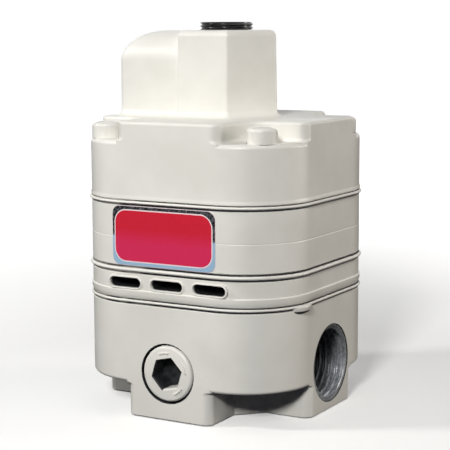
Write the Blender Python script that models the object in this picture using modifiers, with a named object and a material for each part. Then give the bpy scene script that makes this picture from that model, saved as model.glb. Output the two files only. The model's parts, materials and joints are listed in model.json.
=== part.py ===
# Volume booster for compressed air: a stacked die-cast relay worked by two rolling diaphragms.
# The origin is at the centre of the underside, +Z is up, -Y is the front with the gauge port and
# the nameplate, and +X is the outlet port.

import math

import bmesh
import bpy
from mathutils import Matrix, Vector

MM = 0.001

# Fits
GAP = 0.3 * MM
BOLT_CLEARANCE = 0.35 * MM
FLUSH_STEP = 0.02 * MM       # keeps two walls that run flush from lying in one plane
LAP = 0.05 * MM              # how far inside a joined plate another one ends
WELD = 0.001 * MM            # points closer than this are one

# Outline of the stack
HALF_WIDTH = 32.7 * MM
FLAT_HALF_WIDTH = 13.7 * MM
BORE_WALL = 7.7 * MM

# Heights of the castings and of the sealing edges between them
BODY_HEIGHT = 31.25 * MM
CONTROL_EDGE = 0.7 * MM
EXHAUST_RING_HEIGHT = 7.0 * MM
RING_GASKET_THICKNESS = 1.2 * MM
SPACER_RING_HEIGHT = 16.6 * MM
SIGNAL_EDGE = 0.7 * MM
BONNET_WALL_HEIGHT = 15.75 * MM
PLATEAU_HEIGHT = 5.2 * MM
TOWER_HEIGHT = 23.8 * MM

# How far the sealing edges stand out of the walls
CONTROL_EDGE_PROUD = 0.25 * MM
GASKET_PROUD = 0.7 * MM
SIGNAL_EDGE_PROUD = 0.6 * MM

# Bonnet screws
SCREW_MARGIN = 4.15 * MM     # from a screw's axis to the round corner outside it
SCREW_RADIUS = 2.4 * MM
SCREW_HEAD_RADIUS = 4.0 * MM
SCREW_HEAD_SIDE = 3.0 * MM
SCREW_HEAD_DOME = 1.4 * MM
SCREW_SLOT_WIDTH = 1.3 * MM
SCREW_SLOT_DEPTH = 1.7 * MM
SCREW_TIP = 0.8 * MM
SCREW_GRIP = 11.0 * MM
SCREW_TURNS = (70, 35, 20, 110)

# Bonnet
POCKET_RADIUS = 8.4 * MM
PLATEAU_CORNER_RADIUS = 3.0 * MM
PLATEAU_EDGE = 0.9 * MM
RIM_EDGE = 1.2 * MM
TOWER_APOTHEM = 13.45 * MM
TOWER_DRAFT = 0.35 * MM
TOWER_CORNER_RADIUS = 1.0 * MM
TOWER_EDGE = 1.8 * MM
BASE_FILLET = 2.0 * MM
LOBE_SETBACK = 4.8 * MM
LOBE_HALF_WIDTH = 12.6 * MM
LOBE_EDGE = 8.5 * MM
LOBE_CORNER_RADIUS = 2.0 * MM
SIGNAL_ROOM = 3.4 * MM
SIGNAL_CHAMBER_STEP = 1.0 * MM
SIGNAL_SHOULDER = 9.0 * MM
SIGNAL_DOME_HEIGHT = 5.0 * MM
SIGNAL_PASSAGE_RADIUS = 3.2 * MM
SIGNAL_PORT_RADIUS = 6.4 * MM
SIGNAL_PORT_DEPTH = 12.0 * MM
SIGNAL_PLUG_RIM_RADIUS = 7.2 * MM
SIGNAL_PLUG_RIM = 1.9 * MM
SIGNAL_PLUG_DEPTH = 9.0 * MM
SIGNAL_PLUG_WALL = 1.6 * MM

# Exhaust slots in the front of the lower ring
SLOT_COUNT = 3
SLOT_MARGIN = 6.2 * MM
SLOT_WEB = 3.3 * MM
SLOT_HEIGHT = 2.6 * MM
SLOT_LIFT = 4.3 * MM

# Nameplate on the front of the upper ring
PLATE_LEFT = -17.0 * MM
PLATE_RIGHT = 15.0 * MM
PLATE_HEIGHT = 15.9 * MM
PLATE_CORNER_RADIUS = 2.3 * MM
PLATE_THICKNESS = 0.3 * MM

# Body
BOSS_HALF_WIDTH = 13.0 * MM
BOSS_CORNER_RADIUS = 2.5 * MM
CORE_CORNER = 19.2 * MM
UNDERCUT_HEIGHT = 9.4 * MM
PORT_HEIGHT = 13.05 * MM
PORT_RADIUS = 10.6 * MM
PORT_DEPTH = 15.7 * MM
PORT_MOUTH_CHAMFER = 0.7 * MM
GAUGE_PORT_RADIUS = 8.05 * MM
GAUGE_PORT_DEPTH = 10.5 * MM
GAUGE_MOUTH_CHAMFER = 0.6 * MM
GAUGE_PASSAGE_RADIUS = 1.8 * MM
SUPPLY_CHAMBER_RADIUS = 9.0 * MM
SUPPLY_PASSAGE_RADIUS = 4.8 * MM
SUPPLY_PASSAGE_HEIGHT = 9.8 * MM
SEAT_WALL_LOW = 15.0 * MM
SEAT_WALL_HIGH = 18.0 * MM
OUTLET_CHAMBER_RADIUS = 12.0 * MM
OUTLET_PASSAGE_WIDTH = 15.0 * MM
OUTLET_PASSAGE_HEIGHT = 5.0 * MM
CONTROL_LEDGE = 3.0 * MM
CONTROL_RECESS_DEPTH = 5.4 * MM

# Gauge plugs
PLUG_LENGTH = 8.5 * MM
PLUG_DOME = 0.7 * MM
PLUG_CROWN_RADIUS = 6.7 * MM
PLUG_HEX = 7.9 * MM
PLUG_HEX_DEPTH = 5.5 * MM
PLUG_TURN = 13.0
PLUG_SETBACK = 0.2 * MM

# Supply valve
VALVE_TRAVEL = 1.2 * MM
STEM_RADIUS = 1.5 * MM
SEAT_BORE_RADIUS = 4.6 * MM
SEAT_RADIUS = 5.8 * MM
SEAT_LIP_RADIUS = 5.2 * MM
SEAT_LIP = 0.9 * MM
SEAT_FLANGE_RADIUS = 7.4 * MM
SEAT_FLANGE = 1.3 * MM
VALVE_FACE_RADIUS = 6.3 * MM
VALVE_FACE_THICKNESS = 1.2 * MM
VALVE_DISC_THICKNESS = 1.0 * MM
RETAINER_RECESS = 0.6 * MM
RETAINER_HEIGHT = 5.4 * MM
RETAINER_CUP_RADIUS = 5.9 * MM
RETAINER_FLOOR = 1.9 * MM
RETAINER_GUIDE_RADIUS = 3.2 * MM
RETAINER_SLOT_WIDTH = 2.0 * MM
RETAINER_SLOT_DEPTH = 0.8 * MM
RING_WIRE = 0.55 * MM
RING_GROOVE_HEIGHT = 2.0 * MM
SPRING_RADIUS = 4.6 * MM
SPRING_WIRE = 0.45 * MM
SPRING_TURNS = 5

# Plate between the outlet chamber and the control chamber
BAFFLE_THICKNESS = 1.3 * MM
TUBE_OFFSET = 9.2 * MM
TUBE_RADIUS = 1.6 * MM
TUBE_WALL = 0.6 * MM
TUBE_LIFT = 1.65 * MM
TUBE_FLANGE = 0.6 * MM
TUBE_FLANGE_RADIUS = 2.8 * MM

# Diaphragms and the pieces that they carry
SHEET = 0.6 * MM
CONVOLUTION_RADIUS = 1.6 * MM
CONVOLUTION_ROOM = 0.75 * MM
CONTROL_CONVOLUTION = 1.0 * MM
SIGNAL_CONVOLUTION = 5.3 * MM
EXHAUST_LIFT = 0.8 * MM
HUB_FLANGE_RADIUS = 10.0 * MM
HUB_FLANGE = 1.25 * MM
HUB_NECK_RADIUS = 6.2 * MM
HUB_POST_RADIUS = 3.9 * MM
POST_CHAMFER = 0.6 * MM
EXHAUST_BORE_RADIUS = 4.6 * MM
EXHAUST_SEAT_RADIUS = 2.6 * MM
EXHAUST_SEAT_HEIGHT = 2.25 * MM
EXHAUST_BORE_DEPTH = 6.75 * MM
CROSS_HOLE_RADIUS = 1.9 * MM
CROSS_HOLE_HEIGHT = 6.2 * MM
EXHAUST_FACE_RADIUS = 3.6 * MM
EXHAUST_FACE_THICKNESS = 1.3 * MM
EXHAUST_COLLAR_RADIUS = 3.2 * MM
STEM_HEAD_RADIUS = 2.1 * MM
STEM_HEAD = 0.7 * MM
CONTROL_PISTON_HEIGHT = 2.2 * MM
SPACER_TUBE_RADIUS = 8.5 * MM
SIGNAL_PISTON_HEIGHT = 9.5 * MM
SIGNAL_PISTON_WEB = 3.0 * MM
SIGNAL_PISTON_WALL = 1.8 * MM
TOP_PLATE_INSET = 1.95 * MM
TOP_PLATE_THICKNESS = 1.5 * MM
NUT_ACROSS_FLATS = 13.0 * MM
NUT_HEIGHT = 4.0 * MM
POST_PROUD = 1.0 * MM

# Tab on the edge of the control diaphragm, low on the right near the front
TAB_RADIUS = 5.0 * MM
TAB_ANGLE = -11.0
TAB_PROUD = 1.4 * MM
TAB_DROP = 2.3 * MM

# Facets
CORNER_STEPS = 8
ROUND_STEPS = 32
HIDDEN_STEPS = 20
SMALL_STEPS = 14
EDGE_STEPS = 3
ARC_START = 8                # degrees short of a wall at which a corner arc begins
SHARP_ANGLE = 32

# Radii and places that follow from the outline
CORNER_RADIUS = HALF_WIDTH - FLAT_HALF_WIDTH
BORE_RADIUS = HALF_WIDTH - BORE_WALL
SCREW_OFFSET = FLAT_HALF_WIDTH + (CORNER_RADIUS - SCREW_MARGIN) / math.sqrt(2)
SCREW_PLACES = [(x * SCREW_OFFSET, y * SCREW_OFFSET) for x in (-1, 1) for y in (-1, 1)]
LOBE_LENGTH = HALF_WIDTH - LOBE_SETBACK
SIGNAL_CHAMBER_RADIUS = BORE_RADIUS - SIGNAL_CHAMBER_STEP
SIGNAL_DOME_RADIUS = SIGNAL_CHAMBER_RADIUS - SIGNAL_SHOULDER
SIGNAL_MOUTH_CHAMFER = SIGNAL_PLUG_RIM_RADIUS + GAP - SIGNAL_PORT_RADIUS
SLOT_ROW = 2 * (SCREW_OFFSET - SLOT_MARGIN)
SLOT_WIDTH = (SLOT_ROW - (SLOT_COUNT - 1) * SLOT_WEB) / SLOT_COUNT
CONTROL_RECESS_RADIUS = BORE_RADIUS - CONTROL_LEDGE
CONVOLUTION_OUTER = BORE_RADIUS - CONVOLUTION_ROOM
PISTON_RADIUS = CONVOLUTION_OUTER - 2 * CONVOLUTION_RADIUS - SHEET / 2 - GAP
TOP_PLATE_RADIUS = PISTON_RADIUS - TOP_PLATE_INSET
RETAINER_RADIUS = SUPPLY_CHAMBER_RADIUS - GAP
HUB_HOLE_RADIUS = HUB_NECK_RADIUS + GAP
POST_HOLE_RADIUS = HUB_POST_RADIUS + GAP

# Levels, from the underside up
CONTROL_LOW = BODY_HEIGHT + GAP
CONTROL_HIGH = CONTROL_LOW + CONTROL_EDGE
EXHAUST_LOW = CONTROL_HIGH + GAP
EXHAUST_HIGH = EXHAUST_LOW + EXHAUST_RING_HEIGHT
GASKET_LOW = EXHAUST_HIGH + GAP
GASKET_HIGH = GASKET_LOW + RING_GASKET_THICKNESS
SPACER_LOW = GASKET_HIGH + GAP
SPACER_HIGH = SPACER_LOW + SPACER_RING_HEIGHT
SIGNAL_LOW = SPACER_HIGH + GAP
SIGNAL_HIGH = SIGNAL_LOW + SIGNAL_EDGE
BONNET_LOW = SIGNAL_HIGH + GAP
RIM_TOP = BONNET_LOW + BONNET_WALL_HEIGHT
PLATEAU_TOP = RIM_TOP + PLATEAU_HEIGHT
TOWER_TOP = PLATEAU_TOP + TOWER_HEIGHT
FACE_TOP = SEAT_WALL_LOW - SEAT_LIP - GAP
BAFFLE_LOW = BODY_HEIGHT - CONTROL_RECESS_DEPTH + GAP
BAFFLE_TOP = BAFFLE_LOW + BAFFLE_THICKNESS
RETAINER_TOP = RETAINER_RECESS + RETAINER_HEIGHT
SIGNAL_PISTON_LOW = SIGNAL_LOW - GAP - SIGNAL_PISTON_HEIGHT
TOP_PLATE_LOW = SIGNAL_HIGH + GAP
NUT_LOW = TOP_PLATE_LOW + TOP_PLATE_THICKNESS + GAP
POST_TIP = NUT_LOW + NUT_HEIGHT + POST_PROUD
SIGNAL_ROOF = POST_TIP + EXHAUST_LIFT + SIGNAL_ROOM
EXHAUST_SEAT = BODY_HEIGHT + EXHAUST_SEAT_HEIGHT

# Name: (colour, roughness, metallic)
FINISHES = {
    "epoxy_paint": ((0.74, 0.72, 0.66), 0.38, 0.0),
    "turned_aluminium": ((0.72, 0.72, 0.74), 0.3, 1.0),
    "zinc_plated_steel": ((0.66, 0.67, 0.68), 0.32, 1.0),
    "brass": ((0.78, 0.6, 0.28), 0.3, 1.0),
    "nitrile_rubber": ((0.03, 0.03, 0.03), 0.7, 0.0),
    "painted_edge": ((0.7, 0.68, 0.62), 0.5, 0.0),
    "black_polyethylene": ((0.02, 0.02, 0.02), 0.3, 0.0),
    "printed_foil": ((0.62, 0.03, 0.05), 0.3, 0.0),
    "spring_steel": ((0.5, 0.5, 0.52), 0.3, 1.0),
}

for old in list(bpy.data.objects):
    bpy.data.objects.remove(old)

pieces = bpy.data.collections.new("volume_booster")
cutters = bpy.data.collections.new("cutters")
for group in (pieces, cutters):
    bpy.context.scene.collection.children.link(group)
materials = {}


def finish(name):
    """The material of that name, made once."""
    if name not in materials:
        colour, roughness, metallic = FINISHES[name]
        material = bpy.data.materials.new(name)
        material.use_nodes = True
        shader = material.node_tree.nodes["Principled BSDF"]
        shader.inputs["Base Color"].default_value = (*colour, 1)
        shader.inputs["Roughness"].default_value = roughness
        shader.inputs["Metallic"].default_value = metallic
        materials[name] = material
    return materials[name]


def place(name, mesh, material=None):
    """An object from a mesh: a piece where it has a material, and a cutter where it has none."""
    item = bpy.data.objects.new(name, mesh)
    if material:
        pieces.objects.link(item)
        mesh.materials.append(finish(material))
    else:
        cutters.objects.link(item)
        item.hide_render = True
        item.display_type = "WIRE"
    return item


def boolean(target, other, operation="DIFFERENCE"):
    """Cuts a piece with another object, or joins or intersects them."""
    step = target.modifiers.new(f"{operation.lower()}_{other.name}", "BOOLEAN")
    step.operation = operation
    step.object = other
    step.solver = "EXACT"


def arc(centre, radius, start, end, steps):
    """Points on an arc between two angles in degrees, both ends included."""
    angles = [math.radians(start + (end - start) * i / steps) for i in range(steps + 1)]
    return [(centre[0] + radius * math.cos(a), centre[1] + radius * math.sin(a)) for a in angles]


def circle(centre, radius, steps=SMALL_STEPS):
    """Points round a circle."""
    return arc(centre, radius, 0, 360, steps)[:-1]


def stadium(middle, width, height):
    """A slot outline with round ends, lying along X."""
    end = height / 2
    reach = width / 2 - end
    outline = arc((middle + reach, 0), end, -90, 90, 2 * EDGE_STEPS)
    return outline + arc((middle - reach, 0), end, 90, 270, 2 * EDGE_STEPS)


def rounded_square(half, radius, steps=CORNER_STEPS):
    """A square outline with round corners, from the front right corner on."""
    middle = half - radius
    outline = []
    for quarter, (x, y) in enumerate(((1, -1), (1, 1), (-1, 1), (-1, -1))):
        start = 90 * (quarter - 1)
        outline += arc((x * middle, y * middle), radius, start, start + 90, steps)
    return outline


def rounded_polygon(sides, apothem, radius, turn, steps=EDGE_STEPS):
    """A regular polygon with round corners, one corner pointing at the angle turn."""
    reach = (apothem - radius) / math.cos(math.pi / sides)
    outline = []
    for corner in range(sides):
        angle = turn + 360 * corner / sides
        middle = (reach * math.cos(math.radians(angle)), reach * math.sin(math.radians(angle)))
        outline += arc(middle, radius, angle - 180 / sides, angle + 180 / sides, steps)
    return outline


def rounded_box(left, right, half, radius, steps=EDGE_STEPS):
    """A box outline with round corners at its left end."""
    outline = [(right, -half), (right, half)]
    outline += arc((left + radius, half - radius), radius, 90, 180, steps)
    outline += arc((left + radius, radius - half), radius, 180, 270, steps)
    return outline


def prism(name, outlines, low, high, material=None):
    """A flat outline with holes, given a height, as a mesh."""
    curve = bpy.data.curves.new(name, "CURVE")
    curve.dimensions = "2D"
    curve.fill_mode = "BOTH"
    curve.extrude = (high - low) / 2
    for outline in outlines:
        spline = curve.splines.new("POLY")
        spline.points.add(len(outline) - 1)
        for point, (x, y) in zip(spline.points, outline):
            point.co = (x, y, 0, 1)
        spline.use_cyclic_u = True
    return from_curve(name, curve, Matrix.Translation((0, 0, (low + high) / 2)), material)


def from_curve(name, curve, matrix, material=None):
    """The closed mesh of a curve, at a place."""
    guide = bpy.data.objects.new(name, curve)
    bpy.context.scene.collection.objects.link(guide)
    evaluated = guide.evaluated_get(bpy.context.evaluated_depsgraph_get())
    mesh = bpy.data.meshes.new_from_object(evaluated)
    bpy.data.objects.remove(guide)
    shape = bmesh.new()
    shape.from_mesh(mesh)
    bmesh.ops.remove_doubles(shape, verts=shape.verts, dist=WELD)
    bmesh.ops.recalc_face_normals(shape, faces=shape.faces)
    shape.transform(matrix)
    shape.to_mesh(mesh)
    shape.free()
    mesh.materials.clear()
    return place(name, mesh, material)


def loft(name, sections, material=None):
    """A closed body through outlines of equal count, each with its level, from the lowest up."""
    shape = bmesh.new()
    rings = [[shape.verts.new((x, y, level)) for x, y in outline] for level, outline in sections]
    for below, above in zip(rings, rings[1:]):
        for i in range(len(below)):
            shape.faces.new((below[i - 1], below[i], above[i], above[i - 1]))
    shape.faces.new(reversed(rings[0]))
    shape.faces.new(rings[-1])
    bmesh.ops.recalc_face_normals(shape, faces=shape.faces)
    mesh = bpy.data.meshes.new(name)
    shape.to_mesh(mesh)
    shape.free()
    return place(name, mesh, material)


def turned(name, profile, material=None, steps=ROUND_STEPS, closed=True):
    """A body turned about the Z axis. The profile runs down its outer side."""
    mesh = bpy.data.meshes.new(name)
    count = len(profile)
    edges = [(i, i + 1) for i in range(count - 1)]
    if closed:
        edges.append((count - 1, 0))
    mesh.from_pydata([(radius, 0, level) for radius, level in profile], edges, [])
    item = place(name, mesh, material)
    screw = item.modifiers.new("turn", "SCREW")
    screw.steps = steps
    screw.render_steps = steps
    screw.use_merge_vertices = True
    screw.merge_threshold = WELD
    return item


def rod(name, radius, start, end, steps=ROUND_STEPS, end_radius=None):
    """A round bar or cone between two points."""
    start, end = Vector(start), Vector(end)
    shape = bmesh.new()
    tip = radius if end_radius is None else end_radius
    bmesh.ops.create_cone(shape, cap_ends=True, segments=steps, radius1=radius, radius2=tip,
                          depth=(end - start).length)
    turn = (end - start).to_track_quat("Z", "Y").to_matrix().to_4x4()
    shape.transform(Matrix.Translation((start + end) / 2) @ turn)
    mesh = bpy.data.meshes.new(name)
    shape.to_mesh(mesh)
    shape.free()
    return place(name, mesh)


def block(name, low, high):
    """A box between two corners."""
    low, high = Vector(low), Vector(high)
    shape = bmesh.new()
    bmesh.ops.create_cube(shape, size=1)
    shape.transform(Matrix.Translation((low + high) / 2) @ Matrix.Diagonal((*(high - low), 1)))
    mesh = bpy.data.meshes.new(name)
    shape.to_mesh(mesh)
    shape.free()
    return place(name, mesh)


def copies(name, source, matrices, material):
    """Pieces that share the finished mesh of one guide, each at its own place."""
    evaluated = source.evaluated_get(bpy.context.evaluated_depsgraph_get())
    mesh = bpy.data.meshes.new_from_object(evaluated)
    mesh.materials.clear()
    first = place(f"{name}_1", mesh, material)
    first.matrix_world = matrices[0]
    for i, matrix in enumerate(matrices[1:]):
        item = bpy.data.objects.new(f"{name}_{i + 2}", mesh)
        item.matrix_world = matrix
        pieces.objects.link(item)


def bolt_holes(radius):
    """Outlines of the four screw holes."""
    return [circle(centre, radius) for centre in SCREW_PLACES]


def pocket_outline(corner, grow=0.0):
    """Plan of the corner that is open above the rim: a wedge round the screw, with soft edges to
    the walls on both sides. It grows outwards into the plateau by the amount given."""
    edge = SCREW_OFFSET - POCKET_RADIUS - grow
    soft = PLATEAU_CORNER_RADIUS - grow
    wall = HALF_WIDTH - grow
    far = 1.5 * HALF_WIDTH
    outline = [(edge - soft + soft * math.cos(math.radians(ARC_START - 90)), -far)]
    outline += arc((edge - soft, soft - wall), soft, ARC_START - 90, 0, EDGE_STEPS)
    outline += arc((SCREW_OFFSET, -SCREW_OFFSET), POCKET_RADIUS + grow, 180, 90, 2 * EDGE_STEPS)
    outline += arc((wall - soft, soft - edge), soft, -90, -ARC_START, EDGE_STEPS)
    outline += [(far, soft - edge - soft * math.sin(math.radians(ARC_START))), (far, -far)]
    spin = Matrix.Rotation(math.radians(90 * corner), 2)
    return [tuple(spin @ Vector(point)) for point in outline]


def pocket(corner):
    """Cutter for one corner pocket, opening at the top by the round edge of the plateau."""
    bottom = RIM_TOP - 2 * RIM_EDGE
    outline = pocket_outline(corner)
    sections = [(bottom, outline), (PLATEAU_TOP - PLATEAU_EDGE, outline)]
    for step in range(1, EDGE_STEPS + 1):
        angle = math.radians((90 - ARC_START) * step / EDGE_STEPS)
        grow = PLATEAU_EDGE * (1 - math.cos(angle))
        level = PLATEAU_TOP - PLATEAU_EDGE * (1 - math.sin(angle))
        sections.append((level, pocket_outline(corner, grow)))
    sections.append((PLATEAU_TOP + PLATEAU_EDGE, pocket_outline(corner, grow)))
    return loft(f"pocket_{corner}", sections)


def wall_sections(low, high, edge, shy=0.0):
    """The rounded-square wall between two levels, with a round top edge."""
    def outline(inset):
        return rounded_square(HALF_WIDTH - shy - inset, CORNER_RADIUS - shy - inset)
    sections = [(low, outline(0)), (high - edge, outline(0))]
    for step in range(1, EDGE_STEPS + 1):
        angle = math.radians(90 * step / EDGE_STEPS)
        sections.append((high - edge * (1 - math.sin(angle)), outline(edge * (1 - math.cos(angle)))))
    return sections


def flare(step):
    """How far a foot fillet reaches out, and how high it is, at a step from its toe."""
    angle = math.radians(90 * step / EDGE_STEPS)
    return BASE_FILLET * (1 - math.sin(angle)), BASE_FILLET * (1 - math.cos(angle))


def tower():
    """The hexagon that holds the signal port, with a fillet at its foot and a round top edge."""
    def outline(apothem, radius):
        return rounded_polygon(6, apothem, radius, 0)
    root = TOWER_APOTHEM + TOWER_DRAFT
    sections = [(PLATEAU_TOP - GAP, outline(root + BASE_FILLET, TOWER_CORNER_RADIUS + BASE_FILLET))]
    for step in range(1, EDGE_STEPS + 1):
        out, rise = flare(step)
        sections.append((PLATEAU_TOP + rise, outline(root + out, TOWER_CORNER_RADIUS + out)))
    for step in range(EDGE_STEPS + 1):
        angle = math.radians(90 * step / EDGE_STEPS)
        inset = TOWER_EDGE * (1 - math.cos(angle))
        level = TOWER_TOP - TOWER_EDGE * (1 - math.sin(angle))
        radius = max(TOWER_CORNER_RADIUS - inset, TOWER_CORNER_RADIUS / 2)
        sections.append((level, outline(TOWER_APOTHEM - inset, radius)))
    return loft("tower", sections)


def lobe():
    """The long rounded bulge beside the tower."""
    def outline(grow):
        half = LOBE_HALF_WIDTH + grow
        radius = min(LOBE_CORNER_RADIUS + abs(grow) / 2, half - LAP)
        return rounded_box(-LOBE_LENGTH - grow, 0, half, radius)
    sections = [(PLATEAU_TOP - 2 * GAP, outline(BASE_FILLET))]
    for step in range(1, EDGE_STEPS + 1):
        out, rise = flare(step)
        sections.append((PLATEAU_TOP + rise, outline(out)))
    top = TOWER_TOP - LAP
    steps = 2 * EDGE_STEPS
    for step in range(steps + 1):
        angle = math.radians(90 * step / steps)
        level = top - LOBE_EDGE * (1 - math.sin(angle))
        sections.append((level, outline(-LOBE_EDGE * (1 - math.cos(angle)))))
    return loft("lobe", sections)


def bonnet():
    """The cover with the signal chamber, the corner pockets for the screws and the port tower."""
    shape = loft("bonnet", wall_sections(BONNET_LOW, PLATEAU_TOP, PLATEAU_EDGE), "epoxy_paint")
    for corner in range(4):
        boolean(shape, pocket(corner))
    rim = loft("rim", wall_sections(BONNET_LOW + RIM_EDGE, RIM_TOP, RIM_EDGE, FLUSH_STEP))
    boolean(shape, rim, "UNION")
    boolean(shape, tower(), "UNION")
    boolean(shape, lobe(), "UNION")
    under = BONNET_LOW - RIM_EDGE
    crown = SIGNAL_ROOF + SIGNAL_DOME_HEIGHT
    port_floor = TOWER_TOP - SIGNAL_PORT_DEPTH
    chamfer = SIGNAL_MOUTH_CHAMFER
    chamber = turned("signal_chamber", [
        (0, TOWER_TOP + GAP), (SIGNAL_PORT_RADIUS + chamfer + GAP, TOWER_TOP + GAP),
        (SIGNAL_PORT_RADIUS, TOWER_TOP - chamfer), (SIGNAL_PORT_RADIUS, port_floor),
        (SIGNAL_PASSAGE_RADIUS, port_floor), (SIGNAL_PASSAGE_RADIUS, crown),
        (SIGNAL_DOME_RADIUS, crown), (SIGNAL_CHAMBER_RADIUS, SIGNAL_ROOF), (SIGNAL_CHAMBER_RADIUS, under),
        (0, under)], closed=False)
    boolean(shape, chamber)
    for i, (x, y) in enumerate(SCREW_PLACES):
        hole = rod(f"bonnet_hole_{i}", SCREW_RADIUS + BOLT_CLEARANCE, (x, y, under),
                   (x, y, PLATEAU_TOP + GAP), SMALL_STEPS)
        boolean(shape, hole)
    return shape


def ring(name, low, high, proud=0.0, material="epoxy_paint"):
    """A rounded-square ring of the stack with its bore and its screw holes."""
    outlines = [rounded_square(HALF_WIDTH + proud, CORNER_RADIUS + proud)]
    outlines.append(circle((0, 0), BORE_RADIUS, ROUND_STEPS))
    outlines += bolt_holes(SCREW_RADIUS + BOLT_CLEARANCE)
    return prism(name, outlines, low, high, material)


def exhaust_ring():
    """The lower ring, with a row of slots that lets the exhaust out at the front."""
    shape = ring("exhaust_ring", EXHAUST_LOW, EXHAUST_HIGH)
    level = EXHAUST_LOW + SLOT_LIFT
    for i in range(SLOT_COUNT):
        x = (i - (SLOT_COUNT - 1) / 2) * (SLOT_WIDTH + SLOT_WEB)
        slot = prism(f"slot_{i}", [stadium(x, SLOT_WIDTH, SLOT_HEIGHT)], BORE_RADIUS / 2, 1.5 * HALF_WIDTH)
        slot.matrix_world = Matrix.Translation((0, 0, level)) @ Matrix.Rotation(math.pi / 2, 4, "X")
        boolean(shape, slot)
    return shape


def nameplate():
    """The foil plate bent round the front of the upper ring."""
    level = (SPACER_LOW + SPACER_HIGH) / 2
    low, high = level - PLATE_HEIGHT / 2, level + PLATE_HEIGHT / 2
    steps = 3 * CORNER_STEPS
    def side(proud):
        outline = rounded_square(HALF_WIDTH + proud, CORNER_RADIUS + proud, steps)
        return [p for p in outline if p[1] < 0 and abs(p[0]) < BORE_RADIUS]
    outer = sorted(side(GAP + PLATE_THICKNESS))
    inner = sorted(side(GAP), reverse=True)
    shape = prism("nameplate", [outer + inner], low, high, "printed_foil")
    radius = PLATE_CORNER_RADIUS
    face = []
    left, right = PLATE_LEFT + radius, PLATE_RIGHT - radius
    for i, centre in enumerate(((right, low + radius), (right, high - radius),
                                (left, high - radius), (left, low + radius))):
        face += arc(centre, radius, 90 * (i - 1), 90 * i, 2 * EDGE_STEPS)
    mask = prism("nameplate_outline", [face], HALF_WIDTH / 2, 1.5 * HALF_WIDTH)
    mask.matrix_world = Matrix.Rotation(math.pi / 2, 4, "X")
    boolean(shape, mask, "INTERSECT")
    return shape


def diaphragm(name, low, edge, proud, depth, direction, hole):
    """A rolling diaphragm: a sealing edge clamped between castings, one convolution and a flat
    middle with a hole for the hub. The convolution rises where direction is 1 and hangs where -1."""
    level = low + edge / 2
    inner = CONVOLUTION_OUTER - 2 * CONVOLUTION_RADIUS
    crown = (inner + CONVOLUTION_RADIUS, level + direction * (SHEET + depth))
    turn = arc(crown, CONVOLUTION_RADIUS, 180, 180 - 180 * direction, EDGE_STEPS + 1)
    corner = SHEET
    middle = [(hole, level), (inner - corner, level), (inner, level + direction * corner)]
    rest = [(CONVOLUTION_OUTER, level + direction * corner), (CONVOLUTION_OUTER + corner, level)]
    middle += turn + rest + [(BORE_RADIUS + 2 * SHEET, level)]
    profile = offset(middle, SHEET / 2) + offset(middle, -SHEET / 2)[::-1]
    shape = turned(name, profile, "painted_edge", HIDDEN_STEPS)
    outlines = [rounded_square(HALF_WIDTH + proud, CORNER_RADIUS + proud)]
    outlines.append(circle((0, 0), BORE_RADIUS, ROUND_STEPS))
    outlines += bolt_holes(SCREW_RADIUS + BOLT_CLEARANCE)
    rim = prism(f"{name}_edge", outlines, low, low + edge)
    boolean(shape, rim, "UNION")
    return shape


def offset(path, distance):
    """A path moved sideways by a distance, to its left where the distance is positive."""
    points = [Vector(p) for p in path]
    moved = []
    for i, point in enumerate(points):
        before = (point - points[i - 1]).normalized() if i else None
        after = (points[i + 1] - point).normalized() if i + 1 < len(points) else None
        along = ((before or after) + (after or before)).normalized()
        side = Vector((-along.y, along.x))
        spread = side.dot(Vector((-(after or before).y, (after or before).x)))
        moved.append(tuple(point + side * distance / max(spread, 0.5)))
    return moved


def tab(shape):
    """The round tab on the edge of the control diaphragm, over the top of the body wall."""
    angle = math.radians(TAB_ANGLE)
    out = Vector((math.cos(angle), math.sin(angle)))
    centre = Vector((FLAT_HALF_WIDTH, -FLAT_HALF_WIDTH)) + out * (CORNER_RADIUS + TAB_PROUD - TAB_RADIUS)
    lip = prism("tab", [circle(centre, TAB_RADIUS, ROUND_STEPS)], CONTROL_LOW - TAB_DROP,
                CONTROL_HIGH - LAP)
    clear = rounded_square(HALF_WIDTH + GAP, CORNER_RADIUS + GAP, 2 * CORNER_STEPS)
    under = prism("tab_clearance", [clear], 0, CONTROL_LOW + LAP)
    boolean(lip, under)
    above = prism("tab_bore", [circle((0, 0), BORE_RADIUS + 2 * SHEET, ROUND_STEPS)], 0, SPACER_HIGH)
    boolean(lip, above)
    boolean(shape, lip, "UNION")


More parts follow.
